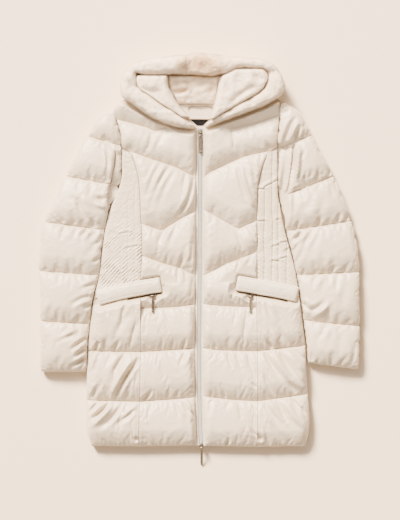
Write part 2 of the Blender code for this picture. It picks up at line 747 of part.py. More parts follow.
def slider(name, place, size, material, collection, cutters):
    """A slider's body with two lugs and a pin along X; the origin is on the pin."""
    width, length, height = size
    pin_z = PIN_ABOVE_SLIDER
    lug_x = LUG_HALF_SPAN + LUG_THICKNESS / 2
    lug_height = pin_z + 1.8
    body_y = length / 2 - SLIDER_NOSE if name.startswith("slider") else 0.0
    item = hard_piece(
        name, lambda w: add_box(w, (width, length, height), (0, body_y, -pin_z - height / 2)),
        material, collection,
    )
    bevel = item.modifiers.new("Bevel", "BEVEL")
    bevel.width = 0.8 * MM
    bevel.segments = 2
    for number, x in enumerate((-lug_x, lug_x)):
        lug = hard_piece(
            f"{name}_lug_{number}",
            lambda w, x=x: add_box(
                w, (LUG_THICKNESS, LUG_LENGTH, lug_height + 1.0),
                (x, 0, lug_height / 2 - pin_z - 0.5),
            ),
            material, cutters, hidden=True,
        )
        combine(item, lug, "UNION")
        lug.location = [c * MM for c in place]
    pin = hard_piece(
        f"{name}_pin",
        lambda w: add_rod(w, PIN_RADIUS, 2 * LUG_HALF_SPAN + LUG_THICKNESS, (0, 0, 0), 12),
        material, cutters, hidden=True,
    )
    combine(item, pin, "UNION")
    pin.location = [c * MM for c in place]
    item.location = [c * MM for c in place]
    return item


def pull(name, place, length, droop, material, collection, cutters):
    """A long pull tab whose eye goes round the slider's pin; the origin is on the pin."""
    tab_length = length - 5.0

    def tab_shape(work):
        add_box(work, (PULL_WIDTH, tab_length, PULL_THICKNESS), (0, -5.0 - tab_length / 2, 0))

    def eye_shape(work):
        add_box(work, (NECK_WIDTH, 7.0, NECK_THICKNESS), (0, -4.0, 0))

    pieces = [
        (f"{name}_neck", eye_shape, "UNION"),
        (f"{name}_barrel", lambda w: add_rod(w, EYE_RADIUS, EYE_LENGTH, (0, 0, 0)), "UNION"),
        (f"{name}_hole", lambda w: add_rod(w, EYE_HOLE_RADIUS, 8.0, (0, 0, 0)), "DIFFERENCE"),
    ]
    item = hard_piece(name, tab_shape, material, collection)
    bevel = item.modifiers.new("Bevel", "BEVEL")
    bevel.width = 0.7 * MM
    bevel.segments = 2
    for part_name, add_shape, operation in pieces:
        cutter = hard_piece(part_name, add_shape, material, cutters, hidden=True)
        cutter.location = [c * MM for c in place]
        cutter.rotation_euler.x = droop
        combine(item, cutter, operation)
    item.location = [c * MM for c in place]
    item.rotation_euler.x = droop
    return item


# ---- The coat --------------------------------------------------------------------------
def make_material(name, colour, roughness, metallic=0.0):
    material = bpy.data.materials.new(name)
    material.use_nodes = True
    shader = material.node_tree.nodes["Principled BSDF"]
    shader.inputs["Base Color"].default_value = (*colour, 1.0)
    shader.inputs["Roughness"].default_value = roughness
    shader.inputs["Metallic"].default_value = metallic
    return material


def clear_scene():
    for item in list(bpy.data.objects):
        bpy.data.objects.remove(item, do_unlink=True)


def new_collection(name):
    collection = bpy.data.collections.new(name)
    bpy.context.scene.collection.children.link(collection)
    return collection


def add_zip(collection, cutters, tape, chain, metal):
    """The zip from its top slider to its bottom slider, and both pull tabs."""
    tape_top, tape_bottom = ZIP_TOP_Y - 1.0, HEM_Y + 1.5
    outer = ZIP_HALF_GAP - SEAM_GAP
    floor = FRONT_FLOOR
    ends = (tape_top, tape_bottom)
    zip_strip("zip_tape_left", -outer, -0.2, floor, TAPE_THICKNESS, ends, tape, collection)
    zip_strip("zip_tape_right", 0.2, outer, floor, TAPE_THICKNESS, ends, tape, collection)
    chain_floor = floor + TAPE_THICKNESS + SEAM_GAP
    pin_z = chain_floor + SLIDER_HEIGHT + PIN_ABOVE_SLIDER
    size = (SLIDER_WIDTH, SLIDER_LENGTH, SLIDER_HEIGHT)
    top_y, bottom_y = 305.0, -450.5
    nose_gap = SLIDER_NOSE + SEAM_GAP
    chain_ends = (top_y - nose_gap, bottom_y + SLIDER_LENGTH - SLIDER_NOSE + SEAM_GAP)
    half = CHAIN_WIDTH / 2
    zip_strip("zip_chain", -half, half, chain_floor, CHAIN_THICKNESS, chain_ends, chain,
              collection)
    top_at = (zip_x(top_y), top_y, pin_z)
    bottom_at = (zip_x(bottom_y), bottom_y, pin_z)
    slider("slider_top", top_at, size, metal, collection, cutters)
    slider("slider_bottom", bottom_at, size, metal, collection, cutters)
    pull("pull_top", top_at, MAIN_PULL_LENGTH, 0.0, metal, collection, cutters)
    pull("pull_bottom", bottom_at, MAIN_PULL_LENGTH, HEM_PULL_DROOP, metal, collection, cutters)


def add_pocket_zip(side, collection, cutters, metal):
    x, y = POCKET_PULL_AT[side]
    pin_z = PLUSH_FLOOR + POCKET_SLIDER_HEIGHT + PIN_ABOVE_SLIDER
    size = (12.0, POCKET_SLIDER_WIDTH, POCKET_SLIDER_HEIGHT)
    slider(f"pocket_slider_{side}", (x, y, pin_z), size, metal, collection, cutters)
    pull(f"pocket_pull_{side}", (x, y, pin_z), POCKET_PULL_LENGTH, 0.0, metal, collection,
         cutters)


def build_coat():
    clear_scene()
    coat = new_collection("long_puffer_coat")
    cutters = new_collection("cutters")
    cloth = make_material("padded_cloth", CLOTH_COLOUR, 0.42)
    plush = make_material("plush", PLUSH_COLOUR, 0.95)
    label = make_material("label_cloth", LABEL_COLOUR, 0.5)
    tape = make_material("zip_tape", TAPE_COLOUR, 0.7)
    coil = make_material("zip_coil", COIL_COLOUR, 0.35)
    metal = make_material("zip_metal", METAL_COLOUR, 0.35, 0.9)

    back_panel(cloth, coat)
    for side in ("left", "right"):
        front_centre(side, cloth, coat)
        ruched_side(side, cloth, coat)
        lower_side(side, cloth, coat)
        pocket_welt(side, cloth, coat)
        sleeve(side, cloth, coat)
        hood_band(side, plush, coat)
        name = f"hood_lining_{side}"
        plush_pad(name, HOOD_LINING[side], LINING_HEIGHT[side], PLUSH_FLOOR, plush, coat)
        add_pocket_zip(side, coat, cutters, metal)
    hood_shell(cloth, coat)
    plush_pad("hood_lining_back", HOOD_LINING_BACK, BACK_LINING_HEIGHT, PLUSH_FLOOR, plush, coat)
    flat_pad("neck_facing", NECK_FACING, FRONT_FLOOR, SEAM_THICKNESS, cloth, coat)
    flat_pad("neck_label", NECK_LABEL, FRONT_FLOOR, 1.0, label, coat)
    hanger_loop(cloth, coat)
    add_zip(coat, cutters, tape, coil, metal)


build_coat()
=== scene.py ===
# %% [markdown]
# # A long puffer coat, laid flat on its back
#
# The coat is a padded cloth shell, quilted in rows, with a plush hood lining, two slanted
# pocket welts and a two-way zip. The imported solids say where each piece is. Here each one gets
# its fine surface: puffs between the stitching, puckers and creases, pile, threads and teeth.
# Lengths in the tables are in millimetres, and they become metres when a mesh is made.

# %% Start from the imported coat
import math

import bmesh
import bpy
import mathutils
import numpy as np
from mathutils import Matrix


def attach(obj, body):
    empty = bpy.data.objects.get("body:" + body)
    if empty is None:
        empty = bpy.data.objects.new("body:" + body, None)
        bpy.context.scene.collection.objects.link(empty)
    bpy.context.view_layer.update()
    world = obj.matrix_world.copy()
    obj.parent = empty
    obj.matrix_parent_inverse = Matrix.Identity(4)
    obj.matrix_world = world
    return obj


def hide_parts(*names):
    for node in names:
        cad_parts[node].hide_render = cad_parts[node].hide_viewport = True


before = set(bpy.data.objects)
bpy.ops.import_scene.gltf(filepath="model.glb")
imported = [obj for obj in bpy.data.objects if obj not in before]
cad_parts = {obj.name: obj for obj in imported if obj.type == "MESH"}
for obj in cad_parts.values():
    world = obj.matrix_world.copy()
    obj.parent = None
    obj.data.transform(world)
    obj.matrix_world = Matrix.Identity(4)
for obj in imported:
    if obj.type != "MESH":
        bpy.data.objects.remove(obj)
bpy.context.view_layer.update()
MM = 0.001
SIDES = ("left", "right")

# %% [markdown]
# ## The pattern's lines
#
# A maker works from a pattern: the edges of each panel and the lines that are stitched. The
# same lines shape every piece below, so they come first, as short tables. Each edge lists its
# place at a few heights. Between those it follows a smooth curve or, for stitching, a straight
# line.

# %% Heights of the layers, in millimetres
BACK_THICKNESS = 16.0
FRONT_FLOOR = 16.3
SEAM_TOP = 20.5
PLUSH_FLOOR = 22.6
SEAM_GAP = 0.3

# %% Edges of the body: columns y, x
ZIP_LINE = [(330, 1), (256, 1), (0, 0), (-330, -1), (-400, 1), (-448, 4)]
ZIP_HALF_GAP = 5.5
SIDE_EDGE = {
    "left": [
        (362, -211), (335, -200), (304, -191), (275, -188), (244, -187), (182, -191), (160, -199),
        (131, -211), (76, -226), (23, -234), (-37, -241), (-89, -253), (-157, -263), (-229, -269),
        (-349, -272), (-420, -269), (-448, -260),
    ],
    "right": [
        (381, 192), (335, 190), (271, 185), (239, 186), (185, 186), (155, 187), (131, 191),
        (91, 198), (28, 214), (-25, 228), (-92, 238), (-145, 245), (-200, 252), (-241, 254),
        (-301, 257), (-420, 259), (-448, 252),
    ],
}
PRINCESS_SEAM = {
    "left": [
        (270, -187), (260, -170), (235, -158), (203, -149), (155, -144), (107, -142), (47, -139),
        (-49, -142), (-217, -143), (-337, -145), (-449, -148),
    ],
    "right": [
        (270, 185), (261, 168), (244, 158), (211, 146), (179, 139), (143, 137), (21, 137),
        (-116, 135), (-217, 137), (-449, 137),
    ],
}
print("zip:", ZIP_LINE[0][0] - ZIP_LINE[-1][0], "mm long; hem:",
      SIDE_EDGE["right"][-1][1] - SIDE_EDGE["left"][-1][1], "mm wide")

# %% Lines across the front, from the zip (u = 0) to the outer edge (u = 1): columns u, y
FRONT_LINES = {
    "left": {
        "neck": [(0, 318), (0.1, 335), (0.27, 376), (0.4, 409), (0.67, 395), (0.92, 376),
                 (1, 361)],
        "hood edge": [(0, 306), (0.25, 313), (0.4, 320), (0.55, 333), (0.67, 347), (0.8, 361),
                      (1, 350)],
        "yoke": [(0, 272), (0.2, 292), (0.4, 316), (0.55, 309), (0.67, 319), (1, 337)],
        "chevron 1": [(0, 194), (0.34, 221), (0.8, 246), (1, 260)],
        "chevron 2": [(0, 120), (0.25, 103), (0.65, 70), (1, 87)],
        "chevron 3": [(0, -42), (0.3, -20), (0.62, -8), (1, 10)],
        "row 1": [(0, -107), (0.4, -113), (1, -117)],
        "row 2": [(0, -213), (0.4, -216), (1, -221)],
        "row 3": [(0, -329), (0.4, -334), (1, -340)],
        "hem": [(0, -445), (1, -448)],
    },
    "right": {
        "neck": [(0, 318), (0.1, 335), (0.27, 378), (0.4, 413), (0.67, 400), (0.92, 386),
                 (1, 379)],
        "hood edge": [(0, 306), (0.27, 325), (0.44, 337), (0.67, 352), (0.92, 366), (1, 367)],
        "yoke": [(0, 276), (0.27, 306), (0.44, 315), (0.67, 325), (1, 346)],
        "chevron 1": [(0, 196), (0.14, 211), (0.67, 249), (1, 261)],
        "chevron 2": [(0, 122), (0.25, 104), (0.65, 74), (1, 94)],
        "chevron 3": [(0, -40), (0.44, -9), (1, 19)],
        "row 1": [(0, -106), (0.3, -110), (1, -114)],
        "row 2": [(0, -212), (0.34, -217), (1, -219)],
        "row 3": [(0, -327), (0.5, -335), (1, -339)],
        "hem": [(0, -446), (1, -449)],
    },
}
STITCHED = ("chevron 1", "chevron 2", "chevron 3", "row 1", "row 2", "row 3", "hem")
YOKE_STARTS = 0.4
print("stitched lines on a front:", len(STITCHED) + 1)

# %% Lines across the side panels, from the side edge (u = 0) to the princess seam: u, y
LOWER_SIDE_LINES = {
    "left": [[(0, -92), (1, -67)], [(0, -219), (1, -221)], [(0, -337), (1, -340)],
             [(0, -446), (1, -448)]],
    "right": [[(0, -88), (1, -60)], [(0, -206), (1, -219)], [(0, -322), (1, -339)],
              [(0, -447), (1, -449)]],
}
RUCHED_TOP = {"left": [(0, 264), (1, 257)], "right": [(0, 265), (1, 258)]}
WELT_LINE = {
    "left": [(-246, -91), (-198, -78), (-142, -67), (-94, -59)],
    "right": [(234, -83), (190, -73), (137, -64), (88, -55)],
}
WELT_WIDTH = 36.0
POCKET_PULL_AT = {"left": (-113, -87), "right": (121, -88)}
print("puffs on a lower side panel:", len(LOWER_SIDE_LINES["left"]) - 1)

# %% Sleeves: edges (y, x) and stitched rows (y outside, y inside)
SLEEVE_OUTER = {
    "left": [
        (362, -213), (340, -240), (309, -263), (271, -288), (235, -306), (187, -331), (131, -355),
        (91, -375), (35, -384), (-147, -384), (-267, -384),
    ],
    "right": [
        (388, 190), (371, 214), (357, 233), (328, 252), (297, 269), (263, 288), (225, 309),
        (167, 336), (98, 362), (35, 378), (-13, 382), (-120, 384), (-262, 382),
    ],
}
SLEEVE_INNER = {
    "left": [(y, x - 1.4) for y, x in SIDE_EDGE["left"]],
    "right": [(y, x + 1.0) for y, x in SIDE_EDGE["right"] if y > 160] + [
        (155, 190), (131, 195), (100, 200), (67, 208), (11, 222), (-61, 237), (-145, 249),
        (-193, 255), (-245, 260),
    ],
}
SLEEVE_ROWS = {
    "left": [(351, 353), (297, 273), (201, 176), (91, 71), (-27, -37), (-147, -154),
             (-267, -267)],
    "right": [(378, 371), (299, 266), (201, 149), (93, 69), (-29, -37), (-159, -145),
              (-262, -246)],
}
print("puffs on a sleeve:", len(SLEEVE_ROWS["left"]) - 1)

# %% The hood: band (outer x, y, inner x, y, height), lining (y, x, x), shell and neck
HOOD_BAND = {
    "left": [
        (-15, 311, -11, 322, 22), (-48, 315, -38, 338, 36), (-84, 325, -68, 358, 42),
        (-120, 342, -97, 376, 44), (-148, 361, -119, 392, 45), (-170, 375, -138, 404, 46),
        (-187, 388, -149, 415, 46), (-191, 413, -151, 426, 46), (-187, 434, -152, 438, 46),
        (-175, 455, -150, 446, 46), (-158, 470, -138, 443, 48), (-134, 478, -118, 441, 50),
        (-90, 484, -88, 442, 52), (-45, 489, -45, 443, 52), (-0.2, 495, -0.2, 440, 49),
    ],
    "right": [
        (15, 314, 12, 325, 22), (60, 332, 46, 346, 36), (96, 345, 74, 362, 42),
        (132, 359, 104, 378, 45), (166, 373, 134, 394, 47), (190, 388, 150, 409, 48),
        (202, 399, 158, 422, 48), (205, 415, 162, 436, 48), (199, 432, 160, 446, 48),
        (188, 452, 154, 453, 49), (174, 469, 142, 456, 50), (150, 478, 122, 457, 52),
        (110, 483, 96, 457, 52), (70, 487, 66, 446, 53), (35, 491, 34, 441, 52),
        (0.2, 495, 0.2, 440, 49),
    ],
}
HOOD_LINING = {
    "left": [(436, -147, -78), (424, -147, -78), (410, -142, -75), (394, -119, -66),
             (376, -94, -57), (358, -65, -42), (341, -39, -27)],
    "right": [(452, 84, 146), (438, 53, 157), (420, 46, 152), (404, 43, 140),
              (387, 39, 115), (368, 34, 81), (350, 29, 50), (337, 26, 30)],
    "back": [(436, -74, 49), (422, -74, 42), (406, -70, 40), (390, -60, 36), (374, -52, 33)],
}
LINING_HEIGHT = {"left": 42.0, "right": 47.0, "back": 20.0}
NECK_FACING = [(397, -73, 66), (376, -56, 53), (355, -38, 36), (338, -25, 24)]
NECK_LABEL = [(336, -23, 21), (322, -7, 7)]
HOOD_SHELL_OUTLINE = [
    (-186, 390), (-187, 416), (-183, 434), (-171, 455), (-155, 468), (-132, 475), (-88, 481),
    (-44, 486), (0, 492), (36, 488), (70, 484), (110, 480), (148, 475), (171, 466), (184, 450),
    (195, 431), (201, 415), (198, 401),
]
BACK_TOP_LINE = [
    (-211, 362), (-186, 383), (-135, 398), (-84, 411), (-40, 401), (0, 398), (40, 401), (84, 416),
    (135, 401), (170, 391), (192, 381),
]
print("shoulders:", BACK_TOP_LINE[-1][0] - BACK_TOP_LINE[0][0], "mm wide")

# %% [markdown]
# ## Reading a line, and measuring from it
#
# How far a point is from the nearest stitching decides how high its puff stands and where a
# pucker fades out. These helpers work on whole grids at once, because a loop over single
# points would be far too slow in Python.

# %% Read a table between its rows
def read_line(table, at):
    """The second column at values of the first, in straight stretches."""
    rows = np.array(sorted(table), float)
    return np.interp(at, rows[:, 0], rows[:, 1])


def smooth_line(table, at):
    """The same through a smooth curve, for edges that a maker cuts as one sweep."""
    rows = np.array(sorted(table), float)
    keys, values = rows[:, 0], rows[:, 1]
    slopes = np.gradient(values, keys)
    at = np.clip(at, keys[0], keys[-1])
    i = np.clip(np.searchsorted(keys, at) - 1, 0, len(keys) - 2)
    width = keys[i + 1] - keys[i]
    t = (at - keys[i]) / width
    ends = values[i] * (1 + 2 * t) * (1 - t) ** 2 + values[i + 1] * t * t * (3 - 2 * t)
    return ends + width * (slopes[i] * t * (1 - t) ** 2 - slopes[i + 1] * t * t * (1 - t))


def mix(first, second, share):
    return first + (second - first) * share


def squarish(wave, power):
    """The lower the power, the broader the wave's tops."""
    return np.sign(wave) * np.abs(wave) ** power


def ring_angles(count):
    return 2 * np.pi * np.arange(count) / count


def side_sign(side):
    return -1 if side == "left" else 1


# %% Measure from a stitched path
def along_path(x, y, path):
    """How far points are from a path, and how far along it the nearest place lies."""
    nearest, along, start = np.full(x.shape, 1e9), np.zeros(x.shape), 0.0
    for (ax, ay), (bx, by) in zip(path, path[1:]):
        dx, dy = bx - ax, by - ay
        length = math.hypot(dx, dy)
        t = np.clip(((x - ax) * dx + (y - ay) * dy) / length**2, 0, 1)
        distance = np.hypot(x - ax - t * dx, y - ay - t * dy)
        closer = distance < nearest
        nearest = np.where(closer, distance, nearest)
        along = np.where(closer, start + t * length, along)
        start += length
    return nearest, along


def from_path(x, y, path):
    return along_path(x, y, path)[0]


def nearest_of(x, y, paths):
    return np.minimum.reduce([from_path(x, y, path) for path in paths])


def unit(vectors):
    return vectors / np.linalg.norm(vectors, axis=-1, keepdims=True)


# %% Four shapes of a slope: a ramp, a bell, a dome and a flank
def ramp(distance, reach):
    """0 at the start and 1 from the full reach on."""
    return np.clip(distance / reach, 0, 1)


def bell(distance, width):
    return np.exp(-((distance / width) ** 2))


def dome(distance, reach):
    """0 on the stitching, steep beside it, and 1 at the full reach."""
    rest = 1 - ramp(distance, reach)
    return np.sqrt(1 - rest * rest)


def flank(distance, reach):
    """Like dome, but it slopes more evenly, as a puff's lower side does."""
    rest = 1 - ramp(distance, reach)
    return (1 - rest**1.4) ** (1 / 1.4)


# %% [markdown]
# ## Unevenness
#
# Real padding is never even. Two kinds of smooth random numbers give that: one along a line,
# for puckers, and one over an area, for lumps in the filling. Both are seeded, so the coat is
# the same each time.

# %% Random but repeatable lumps and ripples
def ripple(at, spacing, seed):
    """A smooth random wave along a line, from -1 to 1."""
    values = np.random.default_rng(seed).uniform(-1, 1, 2048)
    at = at / spacing + 512
    i = np.floor(at).astype(int)
    t = at - i
    t = t * t * (3 - 2 * t)
    return values[i % 2048] * (1 - t) + values[(i + 1) % 2048] * t


def lumps(x, y, size, seed):
    """A smooth random surface, from -1 to 1."""
    values = np.random.default_rng(seed).uniform(-1, 1, (256, 256))
    u, v = x / size + 100, y / size + 100
    i, j = np.floor(u).astype(int), np.floor(v).astype(int)
    s, t = u - i, v - j
    s, t = s * s * (3 - 2 * s), t * t * (3 - 2 * t)
    low = values[i % 256, j % 256] * (1 - s) + values[(i + 1) % 256, j % 256] * s
    high = values[i % 256, (j + 1) % 256] * (1 - s) + values[(i + 1) % 256, (j + 1) % 256] * s
    return low * (1 - t) + high * t


# %% [markdown]
# ## Puckers and creases
#
# Stitching gathers the cloth a little, so short puckers stand across every quilted line and
# die out within a few centimetres. Longer creases come from how the coat was folded and laid
# out, and no rule gives those: they are listed one by one, each as a soft trough or ridge with
# its own length, width, height and bend. A row of a table holds x, y to x, y, then the half
# width and the height, and, where it needs them, the place of its peak and its bend.

# %% Puckers beside a stitched path
def puckers(x, y, path, height, slant, spacing, reach, seed):
    """Short waves that stand across a path; slant is how far they lean along it."""
    distance, along = along_path(x, y, path)
    along = along + slant * distance
    waves = 0.6 * ripple(along, spacing, seed) + 0.4 * ripple(along, spacing * 0.45, seed + 1)
    pinches = -((1 - np.abs(ripple(along, spacing * 1.1, seed + 2))) ** 5)
    strength = 0.6 + 0.5 * ripple(along, 70.0, seed + 3)
    fade = (1 - np.exp(-distance / 3.0)) * np.exp(-distance / reach)
    return height * strength * fade * (waves + 0.9 * pinches)


# %% Creases listed one by one
FOLDS = {}
CREASE_DEPTH = 1.6


def crease(x, y, ax, ay, bx, by, width, height, peak=0.5, bend=0):
    """The height that one trough (below zero) or ridge adds at each point."""
    dx, dy = bx - ax, by - ay
    length = math.hypot(dx, dy)
    t = np.clip(((x - ax) * dx + (y - ay) * dy) / length**2, 0, 1)
    across = ((x - ax) * dy - (y - ay) * dx) / length - bend * 4 * t * (1 - t)
    fade = np.sin(np.pi * t ** (math.log(0.5) / math.log(peak)))
    shoulders = bell(np.abs(across) - 2 * width, width)
    return height * fade * (bell(across, width) - 0.25 * shoulders)


def creases(x, y, table):
    total = np.zeros(x.shape)
    for row in table:
        total += crease(x, y, *row)
    return CREASE_DEPTH * total


# %% [markdown]
# ## Making a panel
#
# A quilted panel is a grid of points: columns from one seam to the other, rows that follow the
# stitching. The rows lie closer together beside the stitching, where a puff is steepest. The
# grid gets a rolled edge and a flat underside, so each panel is a closed piece of padding.

# %% Turn points and faces into a piece
def add_object(name, data):
    made = bpy.data.objects.new(name, data)
    bpy.context.scene.collection.objects.link(made)
    return made


def new_piece(name, points, faces, material, sharp=50):
    """A smooth piece from points in millimetres, with its faces pointing out."""
    mesh = bpy.data.meshes.new(name)
    mesh.from_pydata((np.asarray(points, float) * MM).tolist(), [], faces)
    work = bmesh.new()
    work.from_mesh(mesh)
    bmesh.ops.recalc_face_normals(work, faces=work.faces)
    work.to_mesh(mesh)
    work.free()
    mesh.shade_smooth()
    mesh.set_sharp_from_angle(angle=math.radians(sharp))
    mesh.materials.append(material)
    piece = add_object(name, mesh)
    print(name, len(mesh.vertices), "points")
    return piece


def grid_faces(index):
    """Four-cornered faces between neighbours in a grid of point numbers."""
    corners = [index[:-1, :-1], index[1:, :-1], index[1:, 1:], index[:-1, 1:]]
    return np.stack(corners, -1).reshape(-1, 4).tolist()


# %% Close a panel with a rolled edge and a flat underside
def inset_outline(outline, distance):
    """The outline moved in by a distance."""
    along = np.roll(outline, -1, 0) - np.roll(outline, 1, 0)
    along /= np.maximum(np.linalg.norm(along, axis=1, keepdims=True), 1e-9)
    before, here = np.roll(outline, 1, 0), outline
    turn = np.sum(before[:, 0] * here[:, 1] - before[:, 1] * here[:, 0])
    return outline + np.stack([-along[:, 1], along[:, 0]], -1) * distance * np.sign(turn)


def closed_panel(name, x, y, z, floor, material, edge=((0, 0.5), (0.6, 0.15), (1.5, 0))):
    """edge lists the rings of the rolled edge: how far in, and the share of the height."""
    rows, columns = x.shape
    index = np.arange(rows * columns).reshape(rows, columns)
    rim = np.concatenate([index[0], index[1:-1, -1], index[-1, ::-1], index[-2:0:-1, 0]])
    points = np.stack([x, y, z], -1).reshape(-1, 3)
    faces = grid_faces(index)
    outline, ring, parts = points[rim], rim, [points]
    for inset, share in edge:
        lower = inset_outline(outline[:, :2], inset)
        level = floor + (outline[:, 2:] - floor) * share
        parts.append(np.hstack([lower, level]))
        below = np.arange(len(rim)) + sum(len(p) for p in parts[:-1])
        band = np.stack([ring, np.roll(ring, -1), np.roll(below, -1), below], -1)
        faces += band.tolist()
        ring = below
    at = dict(zip(rim.tolist(), ring.tolist()))
    for i in range(1, rows - 2):
        left, right = index[i : i + 2, 0], index[i : i + 2, -1]
        faces.append([at[left[0]], at[left[1]], at[right[1]], at[right[0]]])
    for end, beside in ((0, 1), (rows - 1, rows - 2)):
        faces.append([at[k] for k in (*index[end], index[beside, -1], index[beside, 0])])
    return new_piece(name, np.vstack(parts), faces, material)


# %% Rows and columns of a panel's grid
def eased(count, ease=0.35):
    """Shares from 0 to 1, closer together at both ends."""
    share = np.arange(count + 1) / count
    return mix(share, 0.5 - 0.5 * np.cos(np.pi * share), ease)


def rows_between(stations, u, step):
    """The y of each grid row, following the lines above and below it."""
    rows = []
    for upper, lower in zip(stations, stations[1:]):
        top, bottom = read_line(upper, u), read_line(lower, u)
        count = max(3, round(float(np.mean(top - bottom)) / step))
        rows += [mix(top, bottom, share) for share in eased(count)[:-1]]
    return np.array(rows + [bottom])


# %% [markdown]
# ## Cloth and its finish
#
# The shell is a tightly woven polyester with a satin face: pale cream, with soft highlights
# along the top of each puff. The shader is a Principled BSDF. A slow noise shifts the colour
# a little from place to place, and two crossed waves give the weave as a very fine bump.

# %% Material helpers
def shader_of(material):
    return material.node_tree.nodes["Principled BSDF"]


def new_material(name, colour, roughness, metallic=0.0, sheen=0.0, specular=0.5):
    material = bpy.data.materials.new(name)
    material.use_nodes = True
    shader = shader_of(material)
    shader.inputs["Base Color"].default_value = (*colour, 1)
    shader.inputs["Roughness"].default_value = roughness
    shader.inputs["Metallic"].default_value = metallic
    shader.inputs["Sheen Weight"].default_value = sheen
    shader.inputs["Sheen Roughness"].default_value = 0.5
    shader.inputs["Specular IOR Level"].default_value = specular
    return material


def add_node(material, kind, values=(), links=()):
    """A node with its inputs set, and linked from other nodes' outputs."""
    tree = material.node_tree
    node = tree.nodes.new(kind)
    for name, value in values:
        node.inputs[name].default_value = value
    for name, output in links:
        tree.links.new(output, node.inputs[name])
    return node


def add_noise(material, where, scale, detail, distortion=0.0):
    return add_node(material, "ShaderNodeTexNoise",
                    [("Scale", scale), ("Detail", detail), ("Distortion", distortion)],
                    [("Vector", where)])


RAMP_ENDS = (0.3, 0.7)


def vary_colour(material, colours, scale, detail=3.0):
    """Slow changes of colour between the given ones."""
    where = add_node(material, "ShaderNodeTexCoord").outputs["Object"]
    noise = add_noise(material, where, scale, detail)
    palette = add_node(material, "ShaderNodeValToRGB", links=[("Fac", noise.outputs["Fac"])])
    for element, position, colour in zip(palette.color_ramp.elements, RAMP_ENDS, colours):
        element.position = position
        element.color = (*colour, 1)
    base_colour = shader_of(material).inputs["Base Color"]
    material.node_tree.links.new(palette.outputs["Color"], base_colour)
    return where


# %% Relief from textures
def add_bump(material, height, strength, distance):
    """Fine relief from a texture's output, on top of any bump that is there already."""
    shader = shader_of(material)
    bump = add_node(material, "ShaderNodeBump", [("Strength", strength), ("Distance", distance)],
                    [("Height", height)])
    if shader.inputs["Normal"].is_linked:
        before = shader.inputs["Normal"].links[0].from_socket
        material.node_tree.links.new(before, bump.inputs["Normal"])
    material.node_tree.links.new(bump.outputs["Normal"], shader.inputs["Normal"])


WAVE_TURN = 6.28


def add_weave(material, where, threads_per_metre, strength, distance=0.0002):
    """Two crossed waves, as the warp and the weft."""
    waves = []
    for direction in ("X", "Y"):
        wave = add_node(material, "ShaderNodeTexWave",
                        [("Scale", threads_per_metre / WAVE_TURN), ("Distortion", 0.3),
                         ("Detail", 1.0)], [("Vector", where)])
        wave.bands_direction = direction
        waves.append(wave.outputs["Fac"])
    both = add_node(material, "ShaderNodeMath")
    both.operation = "MULTIPLY"
    for k in (0, 1):
        material.node_tree.links.new(waves[k], both.inputs[k])
    add_bump(material, both.outputs["Value"], strength, distance)


# %% The satin shell cloth
def satin_cloth(name, dark, light):
    material = new_material(name, light, 0.43, sheen=0.4, specular=0.6)
    shader_of(material).inputs["Sheen Tint"].default_value = (1.0, 0.97, 0.94, 1)
    where = vary_colour(material, [dark, light], 9.0)
    for kind, scale, strength, depth in (("RIDGED_MULTIFRACTAL", 30.0, 0.4, 0.0035),
                                         ("FBM", 140.0, 0.5, 0.0016)):
        crumple = add_noise(material, where, scale, 3.0, distortion=0.8)
        crumple.noise_type = kind
        add_bump(material, crumple.outputs["Fac"], strength, depth)
    add_weave(material, where, 2600.0, 0.15)
    return material


CLOTH = satin_cloth("satin_cloth", (0.575, 0.465, 0.35), (0.645, 0.54, 0.42))
print(CLOTH.name, "has", len(CLOTH.node_tree.nodes), "nodes")

# %% [markdown]
# ## The front panels
#
# Each front has a centre panel beside the zip and a side panel beyond the princess seam. The
# side panel's upper part is ruched: stitched into narrow channels that draw the waist in. The
# centre's height at any point follows from its distance to the nearest stitching; the pocket
# welt and the pull tabs press it flat where they lie.

# %% Where a front's edges and stitching run
ZIP_MARGIN = {"left": 5.0, "right": 2.0}


def zip_x(y):
    return smooth_line(ZIP_LINE, y)


def outer_edge(side, y):
    """The centre panel's outer edge: the princess seam, and the armhole above it."""
    seam = smooth_line(PRINCESS_SEAM[side], y)
    return np.where(y < PRINCESS_SEAM[side][0][0], seam, smooth_line(SIDE_EDGE[side], y))


def front_x(side, u, y):
    sign = side_sign(side)
    return mix(zip_x(y) + sign * ZIP_HALF_GAP, outer_edge(side, y) - sign * SEAM_GAP, u)


def front_path(side, name, start=0.0):
    u = np.linspace(start, 1, 25)
    y = read_line(FRONT_LINES[side][name], u)
    return list(zip(front_x(side, u, y), y))


def from_zip(side, x, y):
    """How far a point lies beyond the strip beside the zip that stays flat."""
    return np.abs(x - zip_x(y)) - ZIP_HALF_GAP - ZIP_MARGIN[side]


# %% Where a side panel's edges and stitching run
def side_x(side, u, y):
    inner = smooth_line(PRINCESS_SEAM[side], y) + side_sign(side) * 2 * SEAM_GAP
    return mix(smooth_line(SIDE_EDGE[side], y), inner, u)


def side_path(side, table):
    u = np.linspace(0, 1, 9)
    y = read_line(table, u)
    return list(zip(side_x(side, u, y), y))


# %% What presses a panel flat
SLIT_OFFSET = 20.6
SLIT_SPAN = {"left": (-176, -97), "right": (94, 218)}
SLIT_STEP = 8.0
WELT_STEP = 10.0
WELT_STEP_REACH = 4.5
PULL_BED = 9.5
POCKET_PULL_LENGTH = 40.0


def slit_line(side):
    """The pocket's opening, just below the welt."""
    low, high = SLIT_SPAN[side]
    x = np.arange(low, high + 0.5 * SLIT_STEP, SLIT_STEP)
    y = smooth_line(WELT_LINE[side], x)
    slope = np.gradient(y, x)
    scale = SLIT_OFFSET / np.hypot(1, slope)
    return list(zip(x + slope * scale, y - scale))


